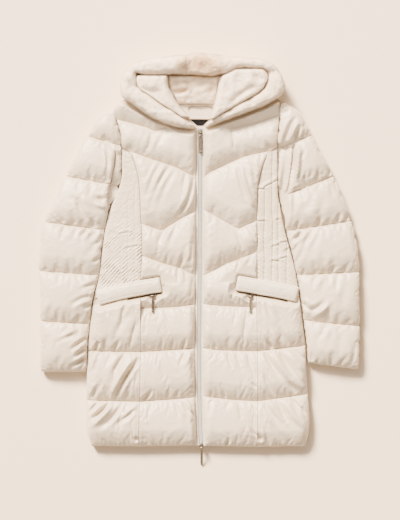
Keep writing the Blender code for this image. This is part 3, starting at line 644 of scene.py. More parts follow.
def from_welt(side, x, y):
    """How far a point lies outside the welt, whose inner end is square."""
    line = np.array(sorted(WELT_LINE[side], key=lambda row: abs(row[0])), float)
    way = (line[0] - line[1]) / np.linalg.norm(line[0] - line[1])
    beside = from_path(x, y, [line[0] + 90 * way, *line])
    past = (x - line[0, 0]) * way[0] + (y - line[0, 1]) * way[1] + WELT_WIDTH / 2
    return (beside**6 + np.maximum(past, 0) ** 6) ** (1 / 6) - WELT_WIDTH / 2 + 1


def pressed(side, x, y, height):
    """Lower the height under the welt and its slit, round the slider and under its pull."""
    beside_welt = np.maximum(from_welt(side, x, y) - 1.6, 0)
    beyond = WELT_STEP * ramp(beside_welt, WELT_STEP_REACH) + 0.14 * beside_welt
    below = y < smooth_line(WELT_LINE[side], x)
    height = np.minimum(height, SEAM_TOP + 2.0 + np.where(below, 1.2 * beside_welt, beyond))
    beside_slit = np.maximum(from_path(x, y, slit_line(side)) - 2.2, 0)
    height = np.minimum(height, SEAM_TOP + 3.2 * beside_slit)
    pull_x, pull_y = POCKET_PULL_AT[side]
    beside_slider = np.maximum(np.hypot(x - pull_x, y - pull_y) - 8.0, 0)
    height = np.minimum(height, SEAM_TOP + 1.6 * beside_slider)
    bed = [(pull_x, pull_y), (pull_x, pull_y - POCKET_PULL_LENGTH)]
    beside_pull = np.maximum(from_path(x, y, bed) - 6.0, 0)
    return np.minimum(height, SEAM_TOP + PULL_BED + 1.2 * beside_pull)


print("pocket openings in mm:", [high - low for low, high in SLIT_SPAN.values()])


# %% The shape that stitching gives a puff
STEEP_REACH = 40.0
SOFT_REACH = 75.0


def rise_between(x, y, paths):
    """How high a puff stands between stitched lines, steeper above a line than below it."""
    rise = np.ones(x.shape)
    for path in paths:
        distance = from_path(x, y, path)
        line = np.array(sorted(path))
        above = y > np.interp(x, line[:, 0], line[:, 1])
        rise = rise * np.where(above, flank(distance, STEEP_REACH), dome(distance, SOFT_REACH))
    return rise


def princess_path(side):
    return [(float(smooth_line(PRINCESS_SEAM[side], at)), at) for at in range(270, -450, -10)]


def from_princess(side, x, y):
    return from_path(x, y, princess_path(side))


def above_waist(y):
    return ramp(y + 100, 50)


def seam_start(side, x, y, rise):
    """Below the waist the princess seam is held high, so it runs over the puffs' tops."""
    held_high = 0.5 * (1 - dome(from_princess(side, x, y), 30.0))
    return rise * (1 + held_high * (1 - above_waist(y)))


def gathers(x, y, path, height, slant, seed):
    """Small sharp puckers beside a stitched line, with some longer ones."""
    long_ones = puckers(x, y, path, height, slant, 15.0, 16.0, seed)
    return 0.6 * long_ones + puckers(x, y, path, height, 0.4 * slant, 6.5, 7.0, seed + 4)


# %% [markdown]
# ## Letting the cloth settle
#
# Wrinkles come from spare cloth: a quilted shell is cut larger than the space between its
# stitching, and the filling pushes it out. Blender's cloth simulation does the same here. Each
# surface starts as a low puff on a coarse grid, its stitched points are held, its threads are
# a little too long, and pressure swells it for a few frames. The settled surface is then
# refined, and the listed creases are added.

# %% Swell a surface whose stitching stays put
START_PUFF = 13.0
SMOOTH_PUFF = 21.5
SETTLING_FRAMES = 20
PRESSURE = 40.0
SPARE_CLOTH = 0.05


def facing_up(points, faces):
    """Faces turned so that the upper ones look up."""
    corners = points[np.array(faces)]
    turn = np.cross(corners[:, 2] - corners[:, 0], corners[:, 3] - corners[:, 1])[:, 2]
    level = corners[:, :, 2].mean(1)
    upper = level >= np.median(level)
    return faces if turn[upper].sum() > 0 else [face[::-1] for face in faces]


def settle(points, faces, held):
    """The points, in millimetres, after the cloth has swollen; the held ones stay."""
    shape = points.shape
    points = points.reshape(-1, 3)
    mesh = bpy.data.meshes.new("settling_cloth")
    mesh.from_pydata((points * MM).tolist(), [], facing_up(points, faces))
    cloth = add_object("settling_cloth", mesh)
    cloth.vertex_groups.new(name="stitched").add(np.flatnonzero(held).tolist(), 1.0, "ADD")
    modifier = cloth.modifiers.new("Cloth", "CLOTH")
    settings = modifier.settings
    settings.quality = 4
    settings.mass = 0.01
    settings.bending_stiffness = 0.05
    settings.use_pressure = True
    settings.uniform_pressure_force = PRESSURE
    settings.shrink_min = -SPARE_CLOTH
    settings.vertex_group_mass = "stitched"
    settings.effector_weights.gravity = 0
    modifier.collision_settings.use_collision = False
    modifier.point_cache.frame_end = SETTLING_FRAMES
    for frame_number in range(1, SETTLING_FRAMES + 1):
        bpy.context.scene.frame_set(frame_number)
    settled = cloth.evaluated_get(bpy.context.evaluated_depsgraph_get())
    after = np.zeros(points.size)
    settled.data.vertices.foreach_get("co", after)
    after = after.reshape(-1, 3) / MM
    bpy.data.objects.remove(cloth)
    bpy.data.meshes.remove(mesh)
    bpy.context.scene.frame_set(1)
    print("settled", len(points), "points; most moved", round(np.abs(after - points).max(), 1))
    return after.reshape(shape)


# %% Refine a grid with in-between rows and columns
def finer(grid, closed=False):
    """Twice as fine both ways, on smooth curves; closed means that the columns go round."""
    for axis in (0, 1):
        rows = np.moveaxis(grid, axis, 0)
        if closed and axis == 1:
            padded = np.concatenate([rows[-1:], rows, rows[:2]])
        else:
            padded = np.concatenate([2 * rows[:1] - rows[1:2], rows, 2 * rows[-1:] - rows[-2:-1]])
        between = (9 * (padded[1:-2] + padded[2:-1]) - padded[:-3] - padded[3:]) / 16
        both = np.empty((len(rows) + len(between), *rows.shape[1:]))
        both[0::2], both[1::2] = rows, between
        grid = np.moveaxis(both, 0, axis)
    return grid


def wrinkles(z, reach):
    """The settled cloth's folds across a row: its height less the average along the row."""
    weights = np.hanning(2 * reach + 3)[1:-1]
    padded = np.pad(z, [(0, 0), (reach, reach)], "edge")
    average = sum(w * padded[:, k : k + z.shape[1]] for k, w in enumerate(weights))
    return z - average / weights.sum()


# %% Creases on the left front
FOLDS["front_left"] = [
    (-118, 307, -125, 261, 4.5, -4.5, 0.6, -2), (-110, 302, -115, 259, 5, 2.2, 0.6, -2),
    (-144, 292, -144, 256, 4, -1.8, 0.7), (-130, 292, -132, 251, 4, -1.6, 0.7),
    (-82, 309, -101, 263, 6, -2, 0.5, 2), (-58, 299, -70, 239, 8, -1.5, 0.6),
    (-67, 232, -122, 115, 5, -3.2, 0.35, 8), (-55, 220, -101, 119, 6, -2.2, 0.4, 6),
    (-89, 239, -130, 143, 5, -2.6, 0.4, 5), (-79, 232, -115, 131, 6, 2, 0.4, 7),
    (-34, 211, -43, 167, 4, -2, 0.3), (-13, 230, -48, 107, 5, -6, 0.6, -9),
    (-19, 167, -55, 103, 4.5, -3.6, 0.7, -3), (-26, 201, -38, 124, 6, 2.6, 0.6, -4),
    (-72, 86, -103, 33, 6, -3.4, 0.4, 3), (-62, 86, -89, 23, 6, 2.4, 0.4, 3),
    (-50, 95, -72, 40, 6, -2, 0.4, 2), (-26, 57, -46, -20, 6, -3, 0.7, 2),
    (-13, 67, -22, -15, 4.5, -3.2, 0.6, 2), (-38, 11, -55, -29, 4, -3.2, 0.7),
    (-74, 23, -82, -10, 4, -2, 0.8), (-53, -20, -53, -63, 4, -2.6, 0.35),
    (-43, -20, -41, -58, 4, 1.6, 0.35), (-13, -20, -24, -97, 5, -2.5),
    (-31, -183, -46, -219, 4, -3.6, 0.7), (-60, -188, -70, -217, 4, -2.2, 0.8),
    (-89, -193, -96, -219, 4, -2, 0.8), (-22, -219, -38, -260, 5, 2.6, 0.4),
    (-38, -224, -53, -260, 4, -2.2, 0.3), (-13, -217, -17, -289, 4.5, -3.6, 0.5, 2),
    (-110, -308, -146, -344, 4.5, -4.6, 0.6, -2), (-70, -308, -77, -329, 4, -2.2, 0.8),
    (-48, -303, -58, -327, 4, -2.6, 0.8), (-43, -337, -17, -377, 4, -4, 0.5, 2),
    (-34, -334, -12, -370, 4, 3, 0.5, 2), (-38, -370, -26, -433, 7, -2.2, 0.4, -4),
    (-58, -341, -48, -385, 5, -1.6, 0.3), (-19, -346, -10, -447, 4, -2.4, 0.4),
]
print(len(FOLDS["front_left"]), "creases")

# %% Creases on the right front
FOLDS["front_right"] = [
    (96, 232, 132, 122, 5, 5.2, 0.55, 5), (91, 227, 120, 136, 5, -3.2, 0.5, 5),
    (98, 280, 113, 244, 5, 2.4, 0.6), (86, 280, 98, 244, 5, -1.8, 0.6),
    (79, 304, 82, 259, 5, -1.8), (149, 292, 170, 263, 4, -3.6, 0.75),
    (134, 297, 151, 268, 5, -2, 0.7), (125, 244, 137, 163, 5, -3.4, 0.6, 2),
    (149, 261, 139, 215, 4, -2.6, 0.3), (108, 93, 134, 45, 4.5, -2.4, 0.4),
    (120, 95, 137, 57, 4, -2.2, 0.4), (86, 71, 103, 23, 6, -1.8, 0.4),
    (34, 129, 24, 81, 6, -1.6, 0.4), (55, 9, 43, -17, 4, -2.8, 0.75),
    (98, 23, 89, -10, 5, -2.2, 0.7), (120, 19, 96, -29, 5, 3.6, 0.45, 1),
    (103, 9, 84, -34, 4.5, -2.4, 0.5, 1), (29, -5, 22, -29, 4, -2, 0.8),
    (89, -34, 74, -94, 4, -5.2, 0.5, -2), (79, -34, 67, -87, 6, 2.4, 0.5, -2),
    (110, -121, 103, -205, 7, -1.8), (62, -145, 74, -207, 7, -1.6, 0.7),
    (34, -188, 38, -214, 4, -2.2, 0.8), (96, -193, 103, -217, 4, -2.2, 0.8),
    (65, -219, 79, -262, 5, -2.4, 0.35), (86, -221, 103, -269, 6, -1.8, 0.3),
    (113, -221, 132, -284, 6, -2.2, 0.35, 2), (53, -308, 60, -332, 4, -2.4, 0.8),
    (120, -293, 137, -308, 4, -2.8, 0.6), (24, -303, 29, -327, 4, -2.2, 0.8),
    (26, -337, 22, -380, 5, -1.8, 0.3), (91, -341, 103, -394, 6, -1.6, 0.4),
    (74, -423, 62, -447, 4, -4.2, 0.7), (120, -404, 137, -425, 4, -2.8, 0.6),
    (122, -346, 137, -365, 4, -2.4, 0.6),
]
print(len(FOLDS["front_right"]), "creases")

# %% Where a centre panel stays calm or low
def calm_near(side, x, y):
    """Fewer folds by the welt, and by the princess seam below the waist."""
    beside = bell(from_princess(side, x, y), 14.0) * (1 - above_waist(y))
    return (1 - 0.8 * beside) * ramp(from_welt(side, x, y), 14)


def centre_paths(side):
    paths = [front_path(side, name) for name in STITCHED]
    return paths + [front_path(side, "yoke", YOKE_STARTS)]


def below_hood(side, x, y):
    """How far a point lies below the roll's outer edge."""
    roll_edge = np.array(sorted((row[0], row[1]) for row in HOOD_BAND[side] if row[1] < 400))
    return np.interp(x, roll_edge[:, 0], roll_edge[:, 1]) - y - 2.0


def under_hood(side, x, y, z):
    """The height, kept low where the roll lies on the front."""
    below = below_hood(side, x, y)
    return np.where(below > 0, np.minimum(z, SEAM_TOP + 1.8 + 1.5 * below), SEAM_TOP)


def shoulder_dome(side, x, y):
    """The fronts come down to the shoulder seam beyond the hood."""
    return 0.3 + 0.7 * dome(from_path(x, y, front_path(side, "neck")), 16.0)


# %% The centre panel before and after it settles
ZIP_EDGE_DROP = {"left": 4.0, "right": 1.0}


def centre_rise(side, x, y):
    armhole = [(float(outer_edge(side, at)), at) for at in range(380, 255, -8)]
    rise = rise_between(x, y, centre_paths(side)) * dome(from_zip(side, x, y), 20.0)
    rise = rise * (0.3 + 0.7 * dome(from_path(x, y, armhole), 24.0)) * shoulder_dome(side, x, y)
    return rise * (1 - 0.62 * above_waist(y) * (1 - dome(from_princess(side, x, y), 20.0)))


def centre_start(side, x, y):
    """A low smooth puff between the seams, and which of its points are stitched."""
    rise = seam_start(side, x, y, centre_rise(side, x, y))
    low = 0.3 * creases(x, y, FOLDS[f"front_{side}"]) + 0.5 * lumps(x, y, 22, 12)
    z = pressed(side, x, y, SEAM_TOP + START_PUFF * rise + low * np.clip(rise * 3, 0, 1))
    held = (nearest_of(x, y, centre_paths(side)) < 1.2) | (from_zip(side, x, y) <= 0)
    held |= (below_hood(side, x, y) < 2) | (from_welt(side, x, y) < 0)
    return under_hood(side, x, y, z), held


def centre_finish(side, x, y, z):
    """The settled height with its listed creases, pressed where something lies on it."""
    kept = mix(1.0, 0.7, ramp(y + 90, 120)) * calm_near(side, x, y)
    folds = kept * wrinkles(z, 15)
    print("folds on", side, "front:", round(float(folds.std()), 2), "mm")
    slant = 0.45 if side == "left" else -0.45
    chest = 0.35 * ramp(y - 190, 60)
    relief = (1 - chest) * (folds + 0.7 * creases(x, y, FOLDS[f"front_{side}"]))
    for number, path in enumerate(centre_paths(side)):
        relief += gathers(x, y, path, 1.6, slant, 20 + 9 * number)
    relief += gathers(x, y, princess_path(side), 2.2, 0.2, 90)
    zip_side = side_sign(side) * (ZIP_HALF_GAP + ZIP_MARGIN[side])
    zip_path = [(float(zip_x(at)) + zip_side, at) for at in range(300, -450, -10)]
    relief += puckers(x, y, zip_path, 2.2, 0.3, 9.0, 8.0, 95)
    beside_zip = from_zip(side, x, y)
    reach = np.minimum(nearest_of(x, y, centre_paths(side)), beside_zip)
    z = SEAM_TOP + SMOOTH_PUFF * centre_rise(side, x, y) + relief * ramp(reach, 4.0)
    z = pressed(side, x, y, z - ZIP_EDGE_DROP[side] * bell(beside_zip, 1.4))
    return under_hood(side, x, y, z)


# %% Settle a panel and close it
def with_border(held):
    held = held.copy()
    held[[0, -1]] = held[:, [0, -1]] = True
    return held


def settled_panel(name, side, x, y, start, finish):
    z, held = start(side, x, y)
    index = np.arange(x.size).reshape(x.shape)
    points = settle(np.stack([x, y, z], -1), grid_faces(index), with_border(held))
    x, y, z = np.moveaxis(finer(points), -1, 0)
    return closed_panel(name, x, y, finish(side, x, y, z), FRONT_FLOOR, CLOTH)


def place(piece, slot, *nodes, body="coat"):
    """Let a piece ride on its body and stand for its solids, which it hides; slot is not used."""
    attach(piece, body)
    if nodes:
        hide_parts(*nodes)
    return piece


# %% Make both centre panels
SHOULDER_CORNER = {"left": (BACK_TOP_LINE[0], (0.97, -0.24)),
                   "right": (BACK_TOP_LINE[-1], (-0.85, -0.53))}


def round_shoulder(side, x, y, reach=11.0):
    """The points near the shoulder's corner move a little inwards, so it is no sharp edge."""
    corner, inward = SHOULDER_CORNER[side]
    share = np.clip(1 - np.hypot(x - corner[0], y - corner[1]) / reach, 0, 1) ** 2
    return x + 0.4 * reach * share * inward[0], y + 0.4 * reach * share * inward[1]


def centre_panel(side, step=3.8, columns=37):
    u = eased(columns, 0.3)
    y = rows_between(list(FRONT_LINES[side].values()), u, step)
    x, y = round_shoulder(side, front_x(side, u, y), y)
    return settled_panel(f"quilted_front_{side}", side, x, y, centre_start, centre_finish)


for side in SIDES:
    front = place(centre_panel(side), "padded_cloth", f"front_centre_{side}")


# %% Creases on the left side
FOLDS["side_left"] = [
    (-142, -233, -211, -349, 5.5, -7, 0.45, 6), (-154, -226, -211, -327, 7, 3.4, 0.5, 6),
    (-182, -181, -209, -219, 4.5, -3.6, 0.7, 1), (-211, -169, -233, -217, 6, -2.2, 0.7, 1),
    (-242, -195, -264, -250, 4.5, -4.6, 0.4, 1), (-252, -221, -264, -269, 5, 3.2, 0.4),
    (-175, -221, -214, -284, 6, -2.6, 0.4, 3), (-233, -289, -262, -337, 6, -3, 0.6, 1),
    (-206, -344, -266, -404, 6, 5.4, 0.45, -3), (-216, -344, -266, -385, 4.5, -4.6, 0.4, -2),
    (-190, -353, -245, -409, 5, -3.8, 0.4, -3), (-149, -344, -192, -385, 5, 2.8, 0.35),
    (-156, -358, -206, -399, 5, -3.2, 0.4, -1), (-245, -344, -269, -370, 4, -3.6, 0.4),
    (-161, -424, -143, -436, 5.5, -3.8, 0.6), (-156, -435, -139, -442, 5, 2.6),
    (-168, -125, -211, -205, 7, -2.6, 0.4, 4), (-178, -106, -192, -169, 5, -2.4, 0.2, 2),
    (-149, -140, -166, -207, 6, -2.4, 0.5, 2),
]
print(len(FOLDS["side_left"]), "creases")

# %% Creases on the right side
FOLDS["side_right"] = [
    (149, -178, 175, -217, 4.5, -4.4, 0.75), (163, -154, 190, -209, 5, 3, 0.6),
    (180, -145, 211, -207, 6, -2.6, 0.6, 2), (142, -97, 154, -140, 4.5, -2.8, 0.35),
    (154, -92, 175, -140, 5, -3, 0.35), (163, -101, 190, -149, 6, 2.2, 0.35),
    (154, -221, 199, -289, 5, -4.4, 0.35, 2), (173, -217, 235, -310, 5.5, 4.8, 0.4, 4),
    (190, -219, 250, -303, 5, -4.2, 0.4, 3), (206, -214, 254, -274, 5.5, 3.4, 0.4, 2),
    (223, -212, 254, -245, 5, -3, 0.4, 1), (199, -279, 233, -320, 7, -3.4, 0.6),
    (149, -265, 180, -327, 6, -2.6, 0.5, 2), (151, -346, 221, -413, 6, -3, 0.35, 3),
    (202, -334, 250, -404, 5.5, 4.4, 0.45, 3), (216, -329, 250, -370, 4.5, -4, 0.35, 1),
    (185, -339, 223, -404, 6, -3, 0.4, 3), (242, -351, 257, -385, 4, -3, 0.4),
    (134, -413, 152, -436, 6, -3.8, 0.6), (120, -435, 151, -440, 4.5, 3),
    (163, -334, 182, -361, 5, 2.4, 0.3), (168, -385, 204, -442, 7, -2, 0.4, 2),
]
print(len(FOLDS["side_right"]), "creases")

# %% The lower side panels, from the pocket to the hem
def lower_side_paths(side):
    return [side_path(side, table) for table in LOWER_SIDE_LINES[side][1:]]


def side_edge_path(side):
    return [(float(smooth_line(SIDE_EDGE[side], at)), at) for at in range(0, -460, -10)]


def lower_side_start(side, x, y):
    from_edge = from_path(x, y, side_edge_path(side))
    rise = rise_between(x, y, lower_side_paths(side))
    rise = seam_start(side, x, y, rise)
    low = 0.3 * creases(x, y, FOLDS[f"side_{side}"]) + 0.5 * lumps(x, y, 22, 12)
    z = SEAM_TOP + START_PUFF * rise + low * np.clip(rise * 3, 0, 1)
    z -= (z - SEAM_TOP + 3.0) * (1 - dome(from_edge, 24.0)) * 0.8
    held = (nearest_of(x, y, lower_side_paths(side)) < 1.2) | (from_welt(side, x, y) < 0)
    return pressed(side, x, y, z), held


# %% The lower side panels after they have settled
def lower_side_finish(side, x, y, z):
    folds = 1.1 * calm_near(side, x, y) * wrinkles(z, 15)
    from_edge = from_path(x, y, side_edge_path(side))
    smooth = SEAM_TOP + SMOOTH_PUFF * rise_between(x, y, lower_side_paths(side))
    smooth -= (smooth - SEAM_TOP + 3.0) * (1 - dome(from_edge, 28.0)) * 0.8
    folds *= ramp(from_edge, 14)
    slant = 0.7 if side == "left" else -0.7
    relief = folds + 0.85 * creases(x, y, FOLDS[f"side_{side}"])
    for number, path in enumerate(lower_side_paths(side)):
        relief += gathers(x, y, path, 1.4, slant, 120 + 9 * number)
    relief += gathers(x, y, princess_path(side), 1.2, 0.2, 90)
    relief += puckers(x, y, side_edge_path(side), 1.5, 0.3, 10.0, 10.0, 160)
    reach = nearest_of(x, y, lower_side_paths(side))
    return pressed(side, x, y, smooth + relief * ramp(reach, 4.0))


def lower_side_panel(side, step=3.8, columns=31):
    u = eased(columns, 0.3)
    y = rows_between(LOWER_SIDE_LINES[side], u, step)
    x = side_x(side, u, y)
    name = f"quilted_side_{side}"
    return settled_panel(name, side, x, y, lower_side_start, lower_side_finish)


for side in SIDES:
    panel = place(lower_side_panel(side), "padded_cloth", f"lower_side_{side}")

# %% [markdown]
# ## The ruched side panels
#
# Elastic threads draw these panels in. The right one shows upright channels, tied across in
# places; on the left one they hardly show. Below the waist dense small puckers slant across
# both. Each channel line is a narrow groove, and each tie a short one that runs across.

# %% The ruched panels' channels, ties and puckers
CHANNEL_LINES = {
    "left": [(-190, 40), (-172, 150), (-156, 190)],
    "right": [(155, 172), (174, 262), (188, 226), (208, 48)],
}
CHANNEL_DEPTH = {"left": 0.7, "right": 2.4}
PUCKER_STEP = 9.0
PUCKER_RISE = {"left": 1.35, "right": 0.7}
PUCKERS_BELOW = {"left": 100.0, "right": 95.0}
TIES = {
    "left": [(-192, 62, -170, 66), (-176, 28, -150, 34)],
    "right": [(155, 174, 184, 190), (138, 170, 155, 169), (137, 92, 155, 93),
              (184, 96, 192, 98), (192, 40, 206, 43), (174, 32, 188, 36), (192, 2, 206, 6),
              (174, -2, 190, -4), (206, 24, 214, 28)],
}


def ruched_height(side, x, y, u):
    edge = np.minimum(u, 1 - u) * 90
    height = SEAM_TOP + 3.0 + 3.6 * dome(edge, 14.0)
    for line_x, top in CHANNEL_LINES[side]:
        line_x = line_x + 1.2 * ripple(y, 30, int(abs(line_x)))
        reach = ramp(top - y, 14)
        groove = bell(x - line_x, 1.5) + 0.35 * bell(x - line_x, 5)
        height -= CHANNEL_DEPTH[side] * groove * reach
    for ax, ay, bx, by in TIES[side]:
        distance = from_path(x, y, [(ax, ay), (bx, by)])
        above = y > ay + (x - ax) * (by - ay) / (bx - ax)
        height -= 1.9 * CHANNEL_DEPTH[side] ** 0.5 * bell(distance, 1.6)
        height += 1.3 * bell(distance - 5, 4) * above
    slant = 1.05 if side == "left" else -0.9
    along = y - slant * x
    gather = np.clip((PUCKERS_BELOW[side] - y) / 40, 0.12, 1.0)
    lines = np.array([line_x for line_x, _ in CHANNEL_LINES[side]])
    column = np.sum(x[..., None] > lines, -1)
    inside = np.clip(np.min(np.abs(x[..., None] - lines), -1) / 4, 0.15, 1)
    fine = np.cos(2 * np.pi * (along + 2.5 * lumps(x, y, 15, 205)) / PUCKER_STEP + 2.6 * column)
    fine = squarish(fine, 0.7) * np.clip(0.7 + 0.8 * lumps(x, y, 13, 204), 0, 1.3)
    height += PUCKER_RISE[side] * fine * inside * gather + 0.9 * lumps(x, y, 26, 206)
    small = 0.45 * lumps(x, y, 5.5, 202) + 0.3 * lumps(x, y, 3.2, 207)
    height += small * (1 if side == "left" else 0.7)
    height += 0.5 * ripple(y - 1.4 * slant * x, 4.5, 208) * np.clip(lumps(x, y, 12, 209), 0, 1)
    return height


# %% Make both ruched panels
def ruched_panel(side, step=1.5, columns=60):
    u = eased(columns, 0.0)
    bottom = [(at, y + 2 * SEAM_GAP) for at, y in LOWER_SIDE_LINES[side][0]]
    y = rows_between([RUCHED_TOP[side], bottom], u, step)
    x = side_x(side, u, y)
    z = ruched_height(side, x, y, np.broadcast_to(u, x.shape))
    return closed_panel(f"ruched_panel_{side}", x, y, z, FRONT_FLOOR, CLOTH)


for side in SIDES:
    panel = place(ruched_panel(side), "padded_cloth", f"ruched_side_{side}")

# %% [markdown]
# ## The back
#
# The coat lies on its back, so only the back panel's rolled edge shows, below the fronts. It
# is one pad, flat underneath, whose edge is drawn in where the quilting reaches the side seam.

# %% Make the back
BACK_SHOULDER = 340
BACK_HEM = -447.5


def back_outline_x(side, y):
    rows = [table[0][1] for table in LOWER_SIDE_LINES[side][1:]]
    rows += [91, 201] if side == "left" else [93, 201]
    drawn_in = sum(bell(y - row, 7.0) for row in rows)
    return smooth_line(SIDE_EDGE[side], y) - side_sign(side) * (0.5 + 2.0 * drawn_in)


def back_panel():
    x_ends = BACK_TOP_LINE[0][0], BACK_TOP_LINE[-1][0]
    corners = [(x - x_ends[0]) / (x_ends[1] - x_ends[0]) for x, _ in BACK_TOP_LINE]
    u = np.unique(np.concatenate([np.linspace(0, 1, 40), corners]))
    top = [(a, y) for a, (_, y) in zip(corners, BACK_TOP_LINE)]
    levels = [[(0, level), (1, level)] for level in (BACK_SHOULDER, BACK_HEM)]
    y = rows_between([top, *levels], u, 4.0)
    x = mix(back_outline_x("left", y), back_outline_x("right", y), u)
    for side in SIDES:
        x, y = round_shoulder(side, x, y)
    z = np.full(x.shape, BACK_THICKNESS)
    rolled = ((-0.8, 0.8), (-1.2, 0.55), (0.2, 0.25), (3.0, 0.06), (6.5, 0.0))
    return closed_panel("back_padding", x, y, z, 0.0, CLOTH, edge=rolled)


place(back_panel(), "padded_cloth", "back_panel")

# %% [markdown]
# ## The sleeves
#
# A sleeve is a padded tube pressed flat, with a thin slit inside. It is a loft through many
# cross-sections, round above and flat below. They are low and narrow where a stitched row ties
# the sleeve down, and high between the rows.

# %% Creases on the left sleeve
FOLDS["sleeve_left"] = [
    (-226, 263, -222, 211, 4.5, -4, 0.45, -3), (-230, 263, -226, 211, 4, 3, 0.5, -3),
    (-238, 302, -211, 271, 6, -3.2, 0.6), (-226, 225, -218, 182, 5, -4.4, 0.7),
    (-269, 213, -259, 191, 4, -2.6, 0.7), (-247, 211, -238, 187, 4, -2.2, 0.8),
    (-293, 148, -264, 91, 6, -5.2, 0.35, 6), (-281, 153, -247, 129, 7, 2.2, 0.4, 3),
    (-259, 148, -226, 143, 6, -5, 0.65), (-252, 134, -226, 124, 5, 3.4, 0.6),
    (-312, 153, -293, 139, 6, -1.8), (-269, 95, -247, 76, 7, -4.6, 0.6),
    (-336, 115, -326, 88, 5, -1.8, 0.8), (-307, 110, -300, 83, 4, -2.2, 0.8),
    (-269, 74, -288, 52, 4.5, -4.6, 0.35), (-257, 74, -281, 43, 6, 2.6, 0.4, 2),
    (-298, 71, -307, 47, 4, -2, 0.3), (-230, 62, -242, 45, 5, -4.6),
    (-233, 47, -264, 31, 5, -3, 0.4), (-322, 81, -336, 47, 6, -1.6, 0.3),
    (-233, 23, -238, -10, 4, -3.6), (-238, 7, -259, -8, 4.5, -4.4, 0.4),
    (-250, 33, -278, 4, 7, -1.6, 0.4), (-365, -5, -370, -27, 4, -1.8, 0.8),
    (-343, -8, -348, -29, 4, -2, 0.8), (-307, -5, -312, -32, 5, -1.6, 0.8),
    (-245, -56, -288, -73, 4.5, -4.6, 0.35, 2), (-247, -73, -269, -85, 5, 3, 0.4),
    (-262, -87, -312, -111, 5, -4, 0.35, 3), (-254, -104, -281, -118, 4.5, -4.2, 0.4),
    (-269, -94, -302, -116, 6, 2.2, 0.4, 2), (-360, -92, -374, -133, 7, 2),
    (-336, -116, -343, -149, 6, -1.6, 0.7), (-281, -125, -295, -152, 6, -2.6, 0.7),
    (-264, -125, -271, -149, 4, -3, 0.6), (-293, -164, -341, -197, 6, 3.2, 0.35, 3),
    (-302, -178, -350, -202, 5, -2.6, 0.35, 2), (-269, -188, -312, -219, 4.5, -5.2, 0.4, 3),
    (-274, -202, -305, -226, 4, 3.4, 0.4, 3), (-269, -214, -302, -236, 4.5, -5, 0.4, 3),
    (-271, -226, -307, -250, 4, 3.2, 0.4, 3), (-269, -236, -312, -260, 5, -5.4, 0.4, 3),
    (-269, -245, -283, -267, 4, 3, 0.4), (-326, -217, -346, -260, 8, -1.6),
    (-365, -178, -372, -241, 7, -1.8, 0.4),
]
print(len(FOLDS["sleeve_left"]), "creases")

# %% Creases on the right sleeve
FOLDS["sleeve_right"] = [
    (230, 343, 199, 278, 5, -5.4, 0.45, 3), (240, 331, 211, 273, 6, 2.8, 0.5, 3),
    (242, 326, 228, 283, 4.5, -6.2, 0.6, 2), (250, 314, 245, 290, 4, -3.8, 0.7),
    (262, 309, 254, 295, 4, -2.4, 0.7), (216, 359, 194, 347, 5, -2.2),
    (209, 316, 192, 273, 6, 2, 0.5, 2), (227, 278, 220, 172, 4.5, -11, 0.5, -2),
    (206, 259, 204, 167, 7, -6, 0.6), (199, 220, 197, 153, 5, -5, 0.6),
    (238, 268, 229, 196, 5, 3.6, 0.4, -1), (250, 263, 240, 239, 4, -2.2),
    (242, 220, 235, 191, 4, -2.8, 0.75), (254, 225, 250, 191, 4, -3, 0.8),
    (266, 227, 264, 196, 4, -2.8, 0.8), (283, 235, 283, 196, 4.5, -3.2, 0.75),
    (295, 225, 293, 201, 4, -2.2, 0.8), (305, 230, 312, 201, 5, -3.6, 0.7),
    (240, 184, 216, 158, 5, 2.8, 0.4), (271, 189, 257, 163, 4.5, -3, 0.35),
    (283, 194, 274, 167, 4, 2.2, 0.35), (322, 191, 329, 160, 4.5, -3, 0.4),
    (312, 182, 319, 148, 5, -2.2, 0.4), (262, 143, 240, 86, 9, -2, 0.5, 3),
    (214, 167, 216, 110, 6, 3), (298, 153, 283, 91, 9, -1.6, 0.5, 2),
    (240, 103, 230, 76, 4, -3, 0.75), (293, 112, 283, 81, 4.5, -4.4, 0.7),
    (269, 100, 262, 76, 4, -2.2, 0.8), (334, 117, 329, 88, 4.5, -4.6, 0.7),
    (350, 122, 353, 91, 5, -4.4, 0.7), (312, 105, 307, 83, 4, -2.2, 0.8),
    (245, 67, 218, 40, 4.5, -4.8, 0.4), (238, 71, 221, 55, 4.5, 2.8, 0.4),
    (276, 76, 228, -15, 5.5, -5.2, 0.55, 4), (262, 52, 230, -5, 5.5, 4, 0.55, 3),
    (293, 76, 264, 9, 7, -2, 0.4, 4), (295, 76, 290, 52, 4, 2.2, 0.3),
    (334, 86, 331, 62, 4, 2, 0.3), (365, 81, 377, 23, 6, -3.6, 0.4), (230, 52, 221, 23, 5, 3),
    (326, -10, 314, -32, 4.5, -4.4, 0.6), (283, -13, 278, -34, 4, -2.4, 0.8),
    (250, -15, 247, -37, 4, -2.6, 0.7), (348, -10, 346, -29, 4, -2.2, 0.8),
    (298, 23, 288, -20, 8, -1.6, 0.6), (290, -41, 278, -77, 6, 2.6, 0.35, 2),
    (302, -99, 259, -123, 6, -4.2, 0.5, -3), (317, -92, 266, -142, 7, 3.6, 0.55, -4),
    (242, -101, 266, -125, 4.5, -4.6, 0.45), (247, -92, 269, -109, 4.5, 2.6, 0.45),
    (348, -49, 338, -121, 9, -1.8), (312, -130, 307, -154, 5, -2.4, 0.7),
    (281, -128, 278, -154, 4.5, -2.6, 0.7), (331, -39, 322, -77, 6, -1.8, 0.35),
    (307, -161, 300, -197, 6, 2, 0.3), (343, -169, 331, -229, 9, -2, 0.4, 3),
    (288, -173, 278, -221, 8, -1.8, 0.4, 2), (372, -193, 365, -255, 6, -2.6),
    (322, -217, 312, -260, 7, -1.8, 0.6), (264, -217, 271, -245, 5, -2.4, 0.6),
    (283, -241, 274, -255, 4, -2.2),
]
print(len(FOLDS["sleeve_right"]), "creases")

